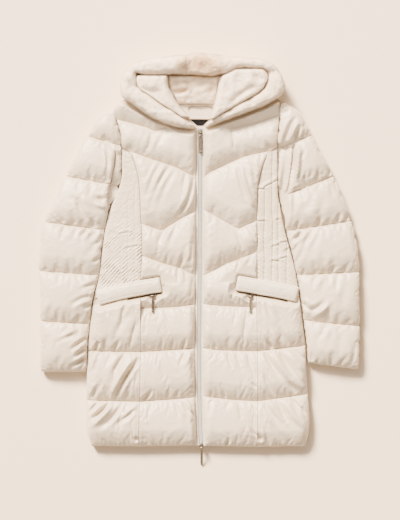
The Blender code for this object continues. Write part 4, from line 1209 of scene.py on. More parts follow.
# %% The sleeve's cross-sections
SLEEVE_SEAM = 26.0
SLEEVE_PUFF = 20.0
SLEEVE_START = 11.0
SLEEVE_SIDE_Z = 15.0
SLIT_Z = 15.5
SLIT_HALF_HEIGHT = 1.6
SLIT_INSET = 15.0
HALF_POINTS = 30


def sleeve_sections(side, step=3.6):
    """For each cross-section: its outer and inner point, and its place between two rows."""
    outer_y, inner_y, tie, rise = [], [], [], []
    for first, second in zip(SLEEVE_ROWS[side], SLEEVE_ROWS[side][1:]):
        length = abs(first[0] - second[0] + first[1] - second[1]) / 2
        shares = eased(max(6, round(length / step)), 0.2)
        shares = shares if not tie else shares[1:]
        outer_y += list(mix(first[0], second[0], shares))
        inner_y += list(mix(first[1], second[1], shares))
        tie += list(np.minimum(shares, 1 - shares) * length)
        rise += list(dome(shares * length, SOFT_REACH) * flank((1 - shares) * length,
                                                               STEEP_REACH))
    outer_y, inner_y, tie, rise = (np.array(v) for v in (outer_y, inner_y, tie, rise))
    outer = np.stack([smooth_line(SLEEVE_OUTER[side], outer_y), outer_y], -1)
    inner = np.stack([smooth_line(SLEEVE_INNER[side], inner_y), inner_y], -1)
    pinch = 2.6 * (1 - dome(tie, 18.0))
    return outer + unit(inner - outer) * pinch[:, None], inner, tie, rise


# %% A sleeve before it swells
def sleeve_start(side, outer, inner, tie, rise):
    """The tube's outside before it swells, one ring of points for each cross-section."""
    angle = np.pi * np.arange(2 * HALF_POINTS) / HALF_POINTS
    share = 0.5 - 0.5 * np.cos(angle)
    under = angle > np.pi
    share = np.where(under, mix(0.5, share, 1 - 0.12 * np.abs(np.sin(angle))), share)
    x = mix(outer[:, :1], inner[:, :1], share)
    y = mix(outer[:, 1:], inner[:, 1:], share)
    upper = np.abs(np.sin(angle))
    height = SLEEVE_SEAM + SLEEVE_START * rise[:, None]
    z = SLEEVE_SIDE_Z + (height - SLEEVE_SIDE_Z) * upper**0.55
    low = 0.3 * creases(x, y, FOLDS[f"sleeve_{side}"]) + 0.5 * lumps(x, y, 22, 32)
    z = z + low * np.clip(rise[:, None] * 3, 0, 1) * np.clip(upper * 2.2, 0, 1)
    z = np.where(under, SLEEVE_SIDE_Z * (1 - np.minimum(1, upper * 2.7)), z)
    held = np.broadcast_to(under & (upper > 0.3), z.shape) | (tie[:, None] < 0.5)
    return np.stack([x, y, np.maximum(z, 0)], -1), held


# %% The strip that is folded under by the armpit
FOLD_STEP = {
    "left": [(-205, 262), (-209, 225), (-216, 190), (-221, 172), (-225, 154), (-222, 112)],
    "right": [(230, 280), (224, 235), (219, 200), (216, 176), (211, 153), (212, 118), (207, 78)],
}
STEP_BELOW = {"left": 180.0, "right": 160.0}
STRIP_DEPTH = {"left": 8.0, "right": 16.0}


def folded_under(side, x, y):
    """By the armpit a strip of the sleeve lies lower than the rest, behind a sharp edge."""
    path = np.array(FOLD_STEP[side])
    line = np.interp(y, path[::-1, 1], path[::-1, 0])
    inside = (x - line) * (1 if side == "left" else -1)
    ends = ramp(path[0, 1] - y, 12) * ramp(y - path[-1, 1], 12)
    depth = mix(STRIP_DEPTH[side], 21.0, ramp(STEP_BELOW[side] - y, 14))
    step = 1 / (1 + np.exp(-inside / 0.6))
    groove = 9.0 * bell(inside - 2.0, 2.4)
    crest = 2.5 * bell(inside + 6, 4.5)
    over = 3.6 * bell(inside + 0.6, 2.2) * (1 if side == "left" else -1)
    return (crest - depth * step - groove) * ends, over * ends


# %% A sleeve after it has swollen
ARMPIT_GAPS = {"left": [(176, 6), (116, 8)], "right": [(100, 16)]}


def sleeve_finish(side, points, outer, inner, rise):
    """Keep the swollen tube off the body and the floor, and add its listed creases."""
    across = inner - outer
    width = np.linalg.norm(across, axis=1)[:, None]
    across = across / width
    reach = np.sum((points[..., :2] - outer[:, None]) * across[:, None], -1)
    gap = sum(5.5 * bell(inner[:, 1:] - middle, half)
              for middle, half in ARMPIT_GAPS[side])
    kept = np.clip(reach, -4.0, width + 0.8 - gap)
    points[..., :2] += across[:, None] * (kept - reach)[..., None]
    x, y, z = np.moveaxis(points, -1, 0)
    turn = ring_angles(x.shape[1])
    upper = np.maximum(np.sin(turn), 0)
    at_body = ramp(y - 150, 20) * (np.cos(turn) < 0)
    smooth = SLEEVE_SIDE_Z + (SLEEVE_SEAM + SLEEVE_PUFF * rise[:, None]
                              - SLEEVE_SIDE_Z) * upper ** (0.55 - 0.3 * at_body)
    folds = 0.9 * wrinkles(z, 7) * np.clip(3 * upper - 0.6, 0, 1)
    print("folds on", side, "sleeve:", round(float(folds.std()), 2), "mm")
    z = np.where(upper > 0, smooth, z)
    top = ramp(z - SLEEVE_SIDE_Z - 4, 8)
    relief = folds + 0.75 * creases(x, y, FOLDS[f"sleeve_{side}"])
    slant = 0.5 if side == "left" else -0.35
    reach_row = np.full(x.shape, 1e9)
    for number, (outside, inside) in enumerate(SLEEVE_ROWS[side][1:]):
        row = [(float(smooth_line(SLEEVE_OUTER[side], outside)), outside),
               (float(smooth_line(SLEEVE_INNER[side], inside)), inside)]
        relief += gathers(x, y, row, 1.3, slant, 300 + 11 * number)
        reach_row = np.minimum(reach_row, from_path(x, y, row))
    z = z + relief * top * ramp(reach_row, 4)
    drop, over = folded_under(side, x, y)
    z = np.where(z > 14, np.maximum(z + drop, 14), z)
    x = x + over * (upper > 0.2)
    return np.stack([x, y, np.maximum(z, 0)], -1)


def slit_points(outer, inner):
    """Rings round the thin slit inside the tube."""
    width = np.linalg.norm(inner - outer, axis=1)[:, None]
    inset = np.minimum(SLIT_INSET / width, 0.3)
    angle = np.pi * np.arange(4 * HALF_POINTS) / (2 * HALF_POINTS)
    share = mix(inset, 1 - inset, 0.5 - 0.5 * np.cos(angle))
    z = np.broadcast_to(SLIT_Z + SLIT_HALF_HEIGHT * np.sin(angle), share.shape)
    x, y = mix(outer[:, :1], inner[:, :1], share), mix(outer[:, 1:], inner[:, 1:], share)
    return np.stack([x, y, z], -1)


# %% Tubes made of rings of points
def ring_faces(first, second):
    return np.stack([first, np.roll(first, -1), np.roll(second, -1), second], -1).tolist()


def tube_faces(index, closed=False):
    """Faces between a tube's rings; a closed one also joins its last ring to its first."""
    pairs = zip(index, np.roll(index, -1, 0)) if closed else zip(index, index[1:])
    return [face for first, second in pairs for face in ring_faces(first, second)]


def joined(name, tubes, material, sharp=50, hoops=()):
    """One piece from tubes with filled ends, and from hoops that close on themselves."""
    points, faces, start = [], [], 0
    for number, rings in enumerate((*tubes, *hoops)):
        points.append(rings.reshape(-1, 3))
        index = start + np.arange(len(points[-1])).reshape(rings.shape[:2])
        is_tube = number < len(tubes)
        faces += tube_faces(index, closed=not is_tube)
        if is_tube:
            faces += [index[0].tolist(), index[-1].tolist()]
        start += index.size
    return new_piece(name, np.vstack(points), faces, material, sharp)


# %% Make both sleeves
def sleeve(side):
    outer, inner, tie, rise = sleeve_sections(side)
    start, held = sleeve_start(side, outer, inner, tie, rise)
    held[[0, -1]] = True
    index = np.arange(held.size).reshape(held.shape)
    swollen = finer(settle(start, tube_faces(index), held), closed=True)
    edges = finer(np.stack([outer, inner], 1))
    outer, inner = edges[:, 0], edges[:, 2]
    rise = finer(np.stack([rise, rise], 1)[..., None])[:, 0, 0]
    outside = sleeve_finish(side, swollen, outer, inner, np.clip(rise, 0, 1))
    slit = slit_points(outer, inner)
    inside = np.vstack([slit[:0:-12], slit[:1]])
    cuff = [mix(outside[-1], slit[-1], share) for share in (0.22, 0.55, 0.85)]
    for ring, bulge in zip(cuff, (1.6, 1.8, 0.8)):
        ring[:, 1] -= bulge
    head = [mix(slit[0], outside[0], share) for share in (0.3, 0.7)]
    rings = np.vstack([outside, cuff, inside, head])
    return joined(f"quilted_sleeve_{side}", [], CLOTH, hoops=[rings])


for side in SIDES:
    place(sleeve(side), "padded_cloth", f"sleeve_{side}")

# %% [markdown]
# ## Pocket welts and the zips under them
#
# A welt is a folded band of shell cloth, lightly padded, sewn on over the pocket's opening. Its
# upper side is stitched down, and its lower side stands free over the pocket's zip, so a dark
# slit shows below it; the zip's near-black coil there is partly a painted shade of that slit.
# Cross-sections placed along a smooth line make the band, and the section itself carries the
# stitched groove near each edge.

# %% Points and directions along a smooth line
def smooth_route(points, step):
    """Points at an even step along a smooth curve through a table of x, y (and more)."""
    table = np.array(points, float)
    chord = np.concatenate([[0], np.cumsum(np.linalg.norm(np.diff(table[:, :2], axis=0), axis=1))])
    at = np.linspace(0, chord[-1], max(2, round(chord[-1] / step)) + 1)
    columns = [smooth_line(list(zip(chord, column)), at) for column in table.T]
    return np.stack(columns, -1), at


def left_of(route):
    """The direction to the left of a route at each of its points."""
    along = unit(np.gradient(route[:, :2], axis=0))
    return np.stack([-along[:, 1], along[:, 0]], -1)


# %% Make both welts
# The welts take a lighter copy of the shell cloth, a painted light for how bright their flat tops
# are.
WELT_CLOTH_PAINTED_LIGHT = satin_cloth("welt_satin_painted_light", (0.645, 0.545, 0.435), (0.72, 0.63, 0.52))
WELT_SECTION = [
    (16.5, 0.0), (17.6, 2.5), (17.8, 5.5), (17.0, 8.4), (15.2, 10.3), (14.0, 10.4), (13.0, 10.2),
    (12.0, 10.9), (9.0, 11.8), (4.0, 12.3), (0.0, 12.4), (-5.0, 12.2), (-9.0, 11.7), (-11.8, 10.9),
    (-12.8, 10.1), (-13.8, 10.3), (-15.6, 10.1), (-17.4, 8.6), (-18.3, 6.4), (-18.0, 4.6),
    (-16.0, 3.4), (-13.5, 2.2), (-13.0, 0.0),
]


def pocket_welt(side):
    route, at = smooth_route(WELT_LINE[side], 2.5)
    if side == "right":
        route = route[::-1]
    up = left_of(route)
    if up[0][1] < 0:
        up = -up
    across, height = np.array(WELT_SECTION).T
    to_end = np.minimum(at, at[-1] - at)
    rounded = np.sqrt(np.clip(to_end / 4.0, 0.03, 1))[:, None]
    width = (0.90 + 0.10 * rounded) * across[None]
    x, y = (route[:, k : k + 1] + up[:, k : k + 1] * width for k in (0, 1))
    soft = 0.5 * lumps(x, y, 22, 401) + 0.35 * lumps(x, y, 9, 402)
    z = PLUSH_FLOOR + height[None] * (0.55 + 0.45 * rounded) + soft * (height[None] > 6)
    return joined(f"welt_{side}", [np.stack([x, y, z], -1)], WELT_CLOTH_PAINTED_LIGHT, sharp=80)


for side in SIDES:
    place(pocket_welt(side), "padded_cloth", f"pocket_welt_{side}")

# %% [markdown]
# ## Metal, tape and coil
#
# The sliders are aged bronze, darker in some places than in others, with fine scratches from
# use. Painting that on each piece would take long, so two noises do it: one mixes the colours
# and a finer one is the relief. The bronze also comes in a lighter and a darker copy, a painted
# highlight and a painted shade for how much light each pull catches. The tapes are woven, and
# the coils are plain moulded nylon.

# %% Their materials
def aged_metal(name, dark, light):
    material = new_material(name, light, 0.34, metallic=0.95)
    where = vary_colour(material, [dark, light], 260.0, 4.0)
    scratches = add_noise(material, where, 900.0, 3.0)
    add_bump(material, scratches.outputs["Fac"], 0.2, 0.0002)
    return material


def tape_cloth():
    material = new_material("zip_tape_cloth", (0.60, 0.60, 0.59), 0.65, sheen=0.2)
    where = vary_colour(material, [(0.54, 0.54, 0.53), (0.62, 0.62, 0.61)], 60.0)
    add_weave(material, where, 1500.0, 0.4)
    return material


# Two copies of one aged bronze: the lighter one is a painted highlight, the darker one a painted
# shade.
BRONZE_PAINTED_LIGHT = aged_metal("aged_bronze_painted_light", (0.20, 0.165, 0.125), (0.42, 0.36, 0.28))
BRONZE_PAINTED_SHADE = aged_metal("aged_bronze_painted_shade", (0.09, 0.072, 0.055), (0.27, 0.22, 0.165))
TAPE = tape_cloth()
COIL = new_material("coil_nylon", (0.60, 0.61, 0.61), 0.35)
vary_colour(COIL, [(0.52, 0.53, 0.53), (0.64, 0.65, 0.65)], 300.0)
# The pocket coils are near-black brown: partly their own colour, partly a painted shade for the
# dark pocket openings below the welts.
DARK_COIL_AND_SLIT_SHADE = new_material("dark_coil_and_slit_shade", (0.075, 0.05, 0.032), 0.4)
vary_colour(DARK_COIL_AND_SLIT_SHADE, [(0.05, 0.034, 0.022), (0.11, 0.075, 0.05)], 300.0)
print("made", [material.name for material in (BRONZE_PAINTED_LIGHT, BRONZE_PAINTED_SHADE, TAPE, COIL, DARK_COIL_AND_SLIT_SHADE)])

# %% Zip teeth, as small arches side by side
TOOTH_SECTION = np.array([(-1, 0), (-0.75, 0.8), (0, 1.0), (0.75, 0.8), (1, 0)])
TOOTH_ARCH = [(0.0, 0.35), (0.15, 0.85), (0.5, 1.0), (0.85, 0.85), (1.0, 0.35)]


def teeth(name, route, tooth, base, material, slot, replaced=()):
    """Arches across a route, from each side in turn; tooth is how wide, long and high."""
    across_to, along_half, height = tooth
    points, faces = [], []
    around, rings = len(TOOTH_SECTION), len(TOOTH_ARCH)
    left = left_of(route)
    for sign in (-1, 1):
        for k in range(int(sign > 0), len(route), 2):
            centre, side_way = route[k], left[k] * sign
            along = np.array([side_way[1], -side_way[0]])
            start = len(points)
            for share, lift in TOOTH_ARCH:
                middle = centre[:2] + side_way * mix(-0.35, across_to, share)
                for a, b in TOOTH_SECTION:
                    x, y = middle + along * a * along_half
                    points.append((x, y, base + height * lift * b))
            for low in range(start, start + around * (rings - 1), around):
                for a in range(low, low + around - 1):
                    faces.append((a, a + around, a + around + 1, a + 1))
                faces.append((low, low + around - 1, low + 2 * around - 1, low + around))
            end = len(points) - 1
            faces.append(tuple(range(start, start + around)))
            faces.append(tuple(range(end, end - around, -1)))
    return place(new_piece(name, points, faces, material, 40), slot, *replaced)


# %% The pocket zips
POCKET_TOOTH = (2.2, 0.62, 1.5)
POCKET_TOOTH_STEP = 0.9
POCKET_TEETH_LEVEL = 21.6

for side in SIDES:
    route, _ = smooth_route(slit_line(side), POCKET_TOOTH_STEP)
    teeth(f"pocket_teeth_{side}", route, POCKET_TOOTH, POCKET_TEETH_LEVEL, DARK_COIL_AND_SLIT_SHADE, "zip_metal")

# %% [markdown]
# ## The hood
#
# Behind the neck the hood lies open. Its plush edge is folded out into a thick roll; inside
# it, the plush lining lies in two side pads and a back pad. A roll is a loft of oval sections
# that stand on their lowest point, so it overhangs and shades the cloth beneath. Slow noise
# moves its surface in clumps, as the pile of such plush falls.

# %% The plush
def plush_cloth(name):
    material = new_material(name, (0.88, 0.73, 0.57), 0.9, sheen=0.3)
    where = vary_colour(material, [(0.80, 0.61, 0.43), (0.95, 0.83, 0.69)], 75.0, 8.0)
    pile = add_noise(material, where, 420.0, 4.0)
    tufts = add_noise(material, where, 110.0, 3.0)
    add_bump(material, tufts.outputs["Fac"], 0.7, 0.004)
    add_bump(material, pile.outputs["Fac"], 0.8, 0.002)
    return material


def painted_shade_patch(material, middle, reach, shade_brown, strength):
    """A painted shade: a round patch where the plush's colour turns darker and browner."""
    tree = material.node_tree
    palette = next(node for node in tree.nodes if node.type == "VALTORGB")
    where = next(node for node in tree.nodes if node.type == "TEX_COORD").outputs["Object"]
    size = [1 / side for side in reach]
    shift = [-at * share for at, share in zip(middle, size)]
    place_in = add_node(material, "ShaderNodeMapping", [("Location", shift), ("Scale", size)],
                        [("Vector", where)])
    patch = add_node(material, "ShaderNodeTexGradient", links=[("Vector", place_in.outputs[0])])
    patch.gradient_type = "SPHERICAL"
    darker = add_node(material, "ShaderNodeMath", [(1, -strength)], [(0, patch.outputs["Fac"])])
    darker.operation = "MULTIPLY_ADD"
    tree.links.new(palette.inputs["Fac"].links[0].from_socket, darker.inputs[2])
    tree.links.new(darker.outputs[0], palette.inputs["Fac"])
    palette.color_ramp.elements.new(0.0).color = (*shade_brown, 1)
    return material


PLUSH = plush_cloth("cream_plush")
# The roll gets a painted shade in the dip at its top middle, and the back pad a painted shadow
# just below the roll.
ROLL_PLUSH = painted_shade_patch(plush_cloth("roll_plush"), (0.005, 0.468, 0.06), (0.075, 0.04, 0.05),
                           (0.56, 0.36, 0.21), 0.75)
BACK_PLUSH = painted_shade_patch(plush_cloth("back_plush"), (-0.03, 0.42, 0.03), (0.11, 0.06, 0.06),
                           (0.62, 0.44, 0.28), 0.3)
print("made", PLUSH.name, ROLL_PLUSH.name, BACK_PLUSH.name)


def clumps(x, y, z, seed):
    """Tufts of pile, from -1 to 1, that also differ from top to bottom."""
    wide = lumps(x + 0.7 * z, y - 0.6 * z, 26, seed)
    middle = lumps(x - 0.5 * z, y + 0.7 * z, 11, seed + 1)
    fine = lumps(x + 0.6 * z, y + 0.4 * z, 5.5, seed + 2)
    return 0.3 * wide + 0.4 * middle + 0.3 * fine


# %% The roll along the hood's edge
ROLL_POINTS = 56
ROLL_FOLDS = [
    (-44, 440, -14, 478, 15, -7, 0.35, 4), (16, 446, 6, 476, 14, -4, 0.4),
    (-150, 400, -176, 434, 9, -3), (-96, 356, -66, 372, 7, -3), (-118, 352, -140, 388, 7, -2),
    (78, 350, 62, 366, 7, -3), (128, 366, 112, 388, 8, -3), (176, 384, 158, 420, 9, -3),
    (160, 452, 190, 440, 8, -4), (-158, 446, -184, 450, 8, -3),
]


def hood_roll():
    left, right = HOOD_BAND["left"], HOOD_BAND["right"]
    table = left[:-1] + [(0, 495, 0, 440, 49)] + right[-2::-1]
    route, at = smooth_route(table, 3.0)
    near_end = np.clip(1 - np.minimum(at, at[-1] - at) / 14.0, 0, 1)[:, None]
    rounded = np.sqrt(1.02 - near_end**2)
    outer, inner = route[:, :2], route[:, 2:4]
    height = (route[:, 4:] - 2) * (0.45 + 0.55 * rounded)
    inward = unit(inner - outer)
    outer, inner = outer + 2.0 * inward, inner - 0.5 * inward
    angle = ring_angles(ROLL_POINTS)
    share = 0.5 - 0.5 * squarish(np.cos(angle), 0.85)
    x, y = (mix(outer[:, k : k + 1], inner[:, k : k + 1], share[None]) for k in (0, 1))
    upper = np.maximum(np.sin(angle), 0) ** 0.8
    lower = np.maximum(-np.sin(angle), 0) ** 0.9
    belly = 0.46
    z = PLUSH_FLOOR + height * (belly + (1 - belly) * upper - belly * lower)
    moved = 2.2 * clumps(x, y, z, 501)
    middle = (outer + inner) / 2
    push_x, push_y = x - middle[:, :1], y - middle[:, 1:]
    push_z = z - (PLUSH_FLOOR + height * belly)
    length = np.sqrt(push_x**2 + push_y**2 + push_z**2) + 1e-6
    above = ramp(z - PLUSH_FLOOR, 8)
    x, y = x + push_x / length * moved * above, y + push_y / length * moved * above
    z = z + push_z / length * moved * above
    z += creases(x, y, ROLL_FOLDS) * ramp(z - PLUSH_FLOOR - 12, 20)
    return joined("hood_roll", [np.stack([x, y, z], -1)], ROLL_PLUSH)


ROLL = place(hood_roll(), "plush", "hood_band_left", "hood_band_right")

# %% The lining inside the hood
LINING_FOLDS = {
    "left": [(-154, 408, -84, 406, 7, -5, 0.5, 7), (-118, 398, -66, 356, 10, -4, 0.5, -6),
             (-120, 426, -96, 424, 14, 4), (-96, 388, -62, 362, 10, 4)],
    "right": [(82, 446, 96, 402, 10, -5, 0.5, -6), (128, 448, 150, 424, 8, -7, 0.5, 3),
              (140, 416, 66, 366, 7, -7, 0.5, 5), (60, 428, 60, 390, 9, -3),
              (110, 440, 116, 410, 12, 3)],
    "back": [(-60, 430, -46, 396, 8, -3, 0.5, 3), (-30, 434, -12, 400, 9, -3, 0.5, -4),
             (8, 434, -2, 404, 8, -3, 0.5, 2), (34, 430, 24, 392, 8, -3, 0.5, -2),
             (-66, 402, -24, 412, 5, -5, 0.4, 5)],
}


# %% Make the three lining pads
LINING_SPREAD = {"left": (-3.2, 0.6), "right": (-0.6, 3.2), "back": (-1.0, 1.0)}


def lining_pad(side, columns=44, step=2.2):
    out, across = LINING_SPREAD[side]
    table = [(y, a + out, b + across) for y, a, b in HOOD_LINING[side]]
    table[0] = (table[0][0] + 4.8, *table[0][1:])
    height = LINING_HEIGHT[side]
    top, bottom = table[0][0], table[-1][0]
    y = np.linspace(top, bottom, round((top - bottom) / step) + 1)
    first = smooth_line([(row[0], row[1]) for row in table], y)
    second = smooth_line([(row[0], row[2]) for row in table], y)
    u = eased(columns, 0.6)
    corner = 9.0 if side != "back" else 2.0
    drop = corner * (1 - np.sqrt(1 - np.clip(1 - (top - y) / corner, 0, 1) ** 2))
    x = mix((first + drop)[:, None], (second - drop)[:, None], u[None])
    y = np.broadcast_to(y[:, None], x.shape)
    left_rim = [(a, at) for at, a, _ in table]
    right_rim = [(b, at) for at, _, b in table]
    top_rim, bottom_rim = [left_rim[0], right_rim[0]], [left_rim[-1], right_rim[-1]]
    reach = nearest_of(x, y, [left_rim, right_rim, top_rim, bottom_rim])
    beside_band = {"left": left_rim, "right": right_rim, "back": None}[side]
    free = [rim for rim in (left_rim, right_rim, top_rim) if rim is not beside_band]
    open_reach = nearest_of(x, y, free)
    full = (0.66 + 0.34 * dome(open_reach, 11.0)) * (0.86 + 0.14 * dome(reach, 20.0))
    z = PLUSH_FLOOR + height * full
    if side == "back":
        z -= 5.0 + 6.0 * ramp(410 - y, 36)
    calm = 1.0 if side == "back" else 0.55
    relief = calm * (creases(x, y, LINING_FOLDS[side]) + 2.2 * clumps(x, y, z, 520))
    z = z + relief * np.clip(reach / 6, 0.2, 1)
    wall = ((-0.3, 0.8), (0.2, 0.45), (1.0, 0.15), (2.0, 0))
    plush = BACK_PLUSH if side == "back" else PLUSH
    return closed_panel(f"lining_{side}", x, y, z, PLUSH_FLOOR, plush, edge=wall)


LININGS = {}
for side in ("left", "right", "back"):
    LININGS[side] = place(lining_pad(side), "plush", f"hood_lining_{side}")

# %% [markdown]
# ## The pile
#
# Plush is a woven base with fibres that lean together in tufts. Each fibre here is one thin
# triangle that grows from a random place, leans as its neighbours do, and takes the base's own
# shading so the pile looks soft. Strands could also come from a particle system, but a plain
# mesh goes with the piece into any other program.

# %% Where the fibres grow
def fibre_roots(base, count, chance):
    """Random places on the base's upper faces, and its normal at each."""
    mesh = base.data
    mesh.calc_loop_triangles()
    corners = np.zeros(3 * len(mesh.loop_triangles), int)
    mesh.loop_triangles.foreach_get("vertices", corners)
    at = np.zeros(3 * len(mesh.vertices))
    mesh.vertices.foreach_get("co", at)
    normals = np.zeros(3 * len(mesh.vertices))
    mesh.vertices.foreach_get("normal", normals)
    corners, at, normals = corners.reshape(-1, 3), at.reshape(-1, 3) / MM, normals.reshape(-1, 3)
    a, b, c = at[corners[:, 0]], at[corners[:, 1]], at[corners[:, 2]]
    area = np.linalg.norm(np.cross(b - a, c - a), axis=1)
    seen = (at[corners].mean(1)[:, 2] > PLUSH_FLOOR + 4) & (normals[corners].mean(1)[:, 2] > -0.5)
    area = area * seen
    pick = chance.choice(len(area), count, p=area / area.sum())
    s, t = chance.random((2, count, 1))
    flip = s + t > 1
    s, t = np.where(flip, 1 - s, s), np.where(flip, 1 - t, t)
    root = a[pick] + (b[pick] - a[pick]) * s + (c[pick] - a[pick]) * t
    return root, unit(normals[corners[pick]].mean(1))


# %% How each fibre leans
FIBRE_WIDTH = 0.5


def fibre_corners(root, normal, length, seed, chance):
    """Two corners at each fibre's foot and one at its tip."""
    count = len(root)
    x, y, z = root.T
    turn = 3.0 * lumps(x + z, y, 34, seed + 1) + 1.5 * lumps(x, y - z, 9, seed + 2)
    lean = np.stack([np.cos(turn), np.sin(turn), -0.4 * np.ones(count)], -1)
    lean += 0.5 * chance.normal(size=(count, 3))
    lean -= normal * np.sum(lean * normal, axis=1, keepdims=True)
    grow = unit(normal * 0.5 + lean * 0.8)
    side_way = unit(np.cross(grow, chance.normal(size=(count, 3))))
    size = length * (0.7 + 0.5 * chance.random((count, 1)))
    foot = root - normal * 0.3
    facing = np.sum(np.cross(side_way, grow) * normal, axis=1, keepdims=True)
    side_way *= np.where(facing < 0, -1, 1) * FIBRE_WIDTH / 2
    return np.stack([foot - side_way, foot + side_way, root + grow * size], 1).reshape(-1, 3)


# %% Grow the fibres
def pile_on(name, base, count, length, seed):
    chance = np.random.default_rng(seed)
    root, normal = fibre_roots(base, count, chance)
    points = fibre_corners(root, normal, length, seed, chance)
    pile = bpy.data.meshes.new(name)
    pile.vertices.add(3 * count)
    pile.vertices.foreach_set("co", (points * MM).ravel())
    pile.loops.add(3 * count)
    pile.loops.foreach_set("vertex_index", np.arange(3 * count, dtype=np.int32))
    pile.polygons.add(count)
    pile.polygons.foreach_set("loop_start", np.arange(0, 3 * count, 3, dtype=np.int32))
    pile.update(calc_edges=True)
    pile.shade_smooth()
    soft = unit(normal + 0.35 * chance.normal(size=(count, 3)))
    pile.normals_split_custom_set_from_vertices(np.repeat(soft, 3, 0).tolist())
    pile.materials.append(base.data.materials[0])
    piece = add_object(name, pile)
    print(name, count, "fibres")
    return place(piece, "plush")


ROLL_FIBRES = 26000
LINING_FIBRES = {"left": 6000, "right": 8000, "back": 5000}

pile_on("pile_roll", ROLL, ROLL_FIBRES, length=3.6, seed=601)
for number, (side, count) in enumerate(LINING_FIBRES.items()):
    pile_on(f"pile_lining_{side}", LININGS[side], count, length=3.2, seed=620 + 10 * number)

# %% [markdown]
# ## The hood's outer cloth, the neck facing and the label
#
# Around the crown a rim of shell cloth shows beyond the plush. At the back of the neck lies a
# smooth facing with a sewn-on loop, by which the coat hangs, and a small black satin label
# below it, which is left plain.

# %% The hood's outer cloth
def crown_shell():
    table, _ = smooth_route(HOOD_SHELL_OUTLINE, 4.0)
    seam_x = np.linspace(-186, 192, len(table))
    low = read_line(BACK_TOP_LINE, seam_x) + 1.0
    shares = 1 - eased(26, 0.5)[:, None]
    x = mix(seam_x, table[:, 0], shares)
    y = mix(low, table[:, 1], shares)
    rim = [tuple(p) for p in table[::3]]
    from_rim = from_path(x, y, rim)
    z = 13.5 + 8.6 * dome(from_rim, 14.0) + puckers(x, y, rim, 1.6, 0.3, 13.0, 16.0, 712)
    y = y + 1.3 * lumps(x, y, 8, 711) * np.clip(1 - from_rim / 14, 0, 1)
    return closed_panel("hood_outer_cloth", x, y, z, 0.0, CLOTH, edge=(
        (-0.6, 0.8), (-0.9, 0.5), (0.0, 0.22), (2.5, 0.05), (5.0, 0.0)))


place(crown_shell(), "padded_cloth", "hood_shell")

# %% The neck facing and the label
def flat_piece(name, table, floor, height, material, columns, step, soft):
    y = np.linspace(table[0][0], table[-1][0], round((table[0][0] - table[-1][0]) / step) + 1)
    first = read_line([(row[0], row[1]) for row in table], y)
    second = read_line([(row[0], row[2]) for row in table], y)
    u = eased(columns, 0.3)
    x = mix(first[:, None], second[:, None], u[None])
    y = np.broadcast_to(y[:, None], x.shape)
    z = floor + height + soft * (0.5 * lumps(x, y, 18, 701) + 0.5 * lumps(x, y, 7, 702))
    return closed_panel(name, x, y, z, floor, material, edge=((0, 0.6), (0.4, 0.2), (0.9, 0)))


def label_satin():
    material = new_material("label_satin", (0.006, 0.005, 0.006), 0.6, specular=0.06)
    where = vary_colour(material, [(0.005, 0.004, 0.005), (0.009, 0.008, 0.009)], 120.0)
    add_weave(material, where, 4000.0, 0.5, 0.0001)
    return material


FACING = flat_piece("neck_facing_cloth", NECK_FACING, FRONT_FLOOR, 5.4, CLOTH, 30, 2.5, 0.5)
place(FACING, "padded_cloth", "neck_facing")
LABEL = flat_piece("neck_label_bare", NECK_LABEL, FRONT_FLOOR, 0.9, label_satin(), 16, 1.5, 0.0)
place(LABEL, "label_cloth", "neck_label")

# %% The loop
LOOP_ROUTE = [(-29, 361, 24.5), (-28.6, 364, 24.5), (-27, 366.4, 24.6), (-22, 368.2, 25.2),
              (0, 367.5, 26.2), (22, 368.2, 25.2), (27, 366.4, 24.6), (28.6, 364, 24.5),
              (29, 361, 24.5)]
LOOP_TWIST = 1.3
STRAND_OFFSET = 0.75
STRAND_RADIUS = 0.95


def neck_loop():
    """Two strands twisted round each other."""
    route, at = smooth_route(LOOP_ROUTE, 0.6)
    side_way = left_of(route)
    angle = ring_angles(10)
    strands = []
    for phase in (0.0, np.pi):
        twist = at * LOOP_TWIST + phase
        middle = route[:, :2] + side_way * (STRAND_OFFSET * np.cos(twist))[:, None]
        level = route[:, 2] + STRAND_OFFSET * np.sin(twist)
        ring = np.cos(angle)[None] * STRAND_RADIUS
        x = middle[:, :1] + side_way[:, :1] * ring
        y = middle[:, 1:] + side_way[:, 1:] * ring
        z = level[:, None] + np.sin(angle)[None] * STRAND_RADIUS
        strands.append(np.stack([x, y, z], -1))
    return joined("neck_loop", strands, LOOP_CORD_PAINTED_SHADE)


# The cord is painted dark brown: a painted shade, standing in for the shadow round the pale loop.
LOOP_CORD_PAINTED_SHADE = new_material("loop_cord_painted_shade", (0.22, 0.15, 0.10), 0.45, sheen=0.1)
vary_colour(LOOP_CORD_PAINTED_SHADE, [(0.17, 0.115, 0.075), (0.27, 0.19, 0.13)], 200.0)
place(neck_loop(), "padded_cloth", "hanger_loop")

# %% [markdown]
# ## The front zip
#
# Two woven tapes lie between the fronts, and a pale nylon coil joins them. The coil is a row of
# small arches on each side that reach past the middle and lock. A metal slider sits at each end
# of it, so the coat opens from the hem too, and a long pull hangs on each.

# %% The tapes' visible edges, as one strip with a gap line, and the coil
def zip_tapes():
    y = np.linspace(317, -446, 256)
    half = np.array([0.12, 0.35, 0.8, 1.6, 2.7, 3.8, 4.8, 5.2])
    offsets = np.concatenate([-half[::-1], half])
    x = zip_x(y)[:, None] + offsets[None]
    y = np.broadcast_to(y[:, None], x.shape)
    ribs = 0.12 * np.sin(y * 2.1) * (np.abs(offsets) > 1)
    z = 17.3 + ribs - 0.9 * bell(offsets, 0.3)
    return closed_panel("zip_tapes", x, y, z, FRONT_FLOOR, TAPE,
                        edge=((0, 0.6), (0.15, 0.2), (0.3, 0)))


TAPES = place(zip_tapes(), "zip_tape", "zip_tape_left", "zip_tape_right")

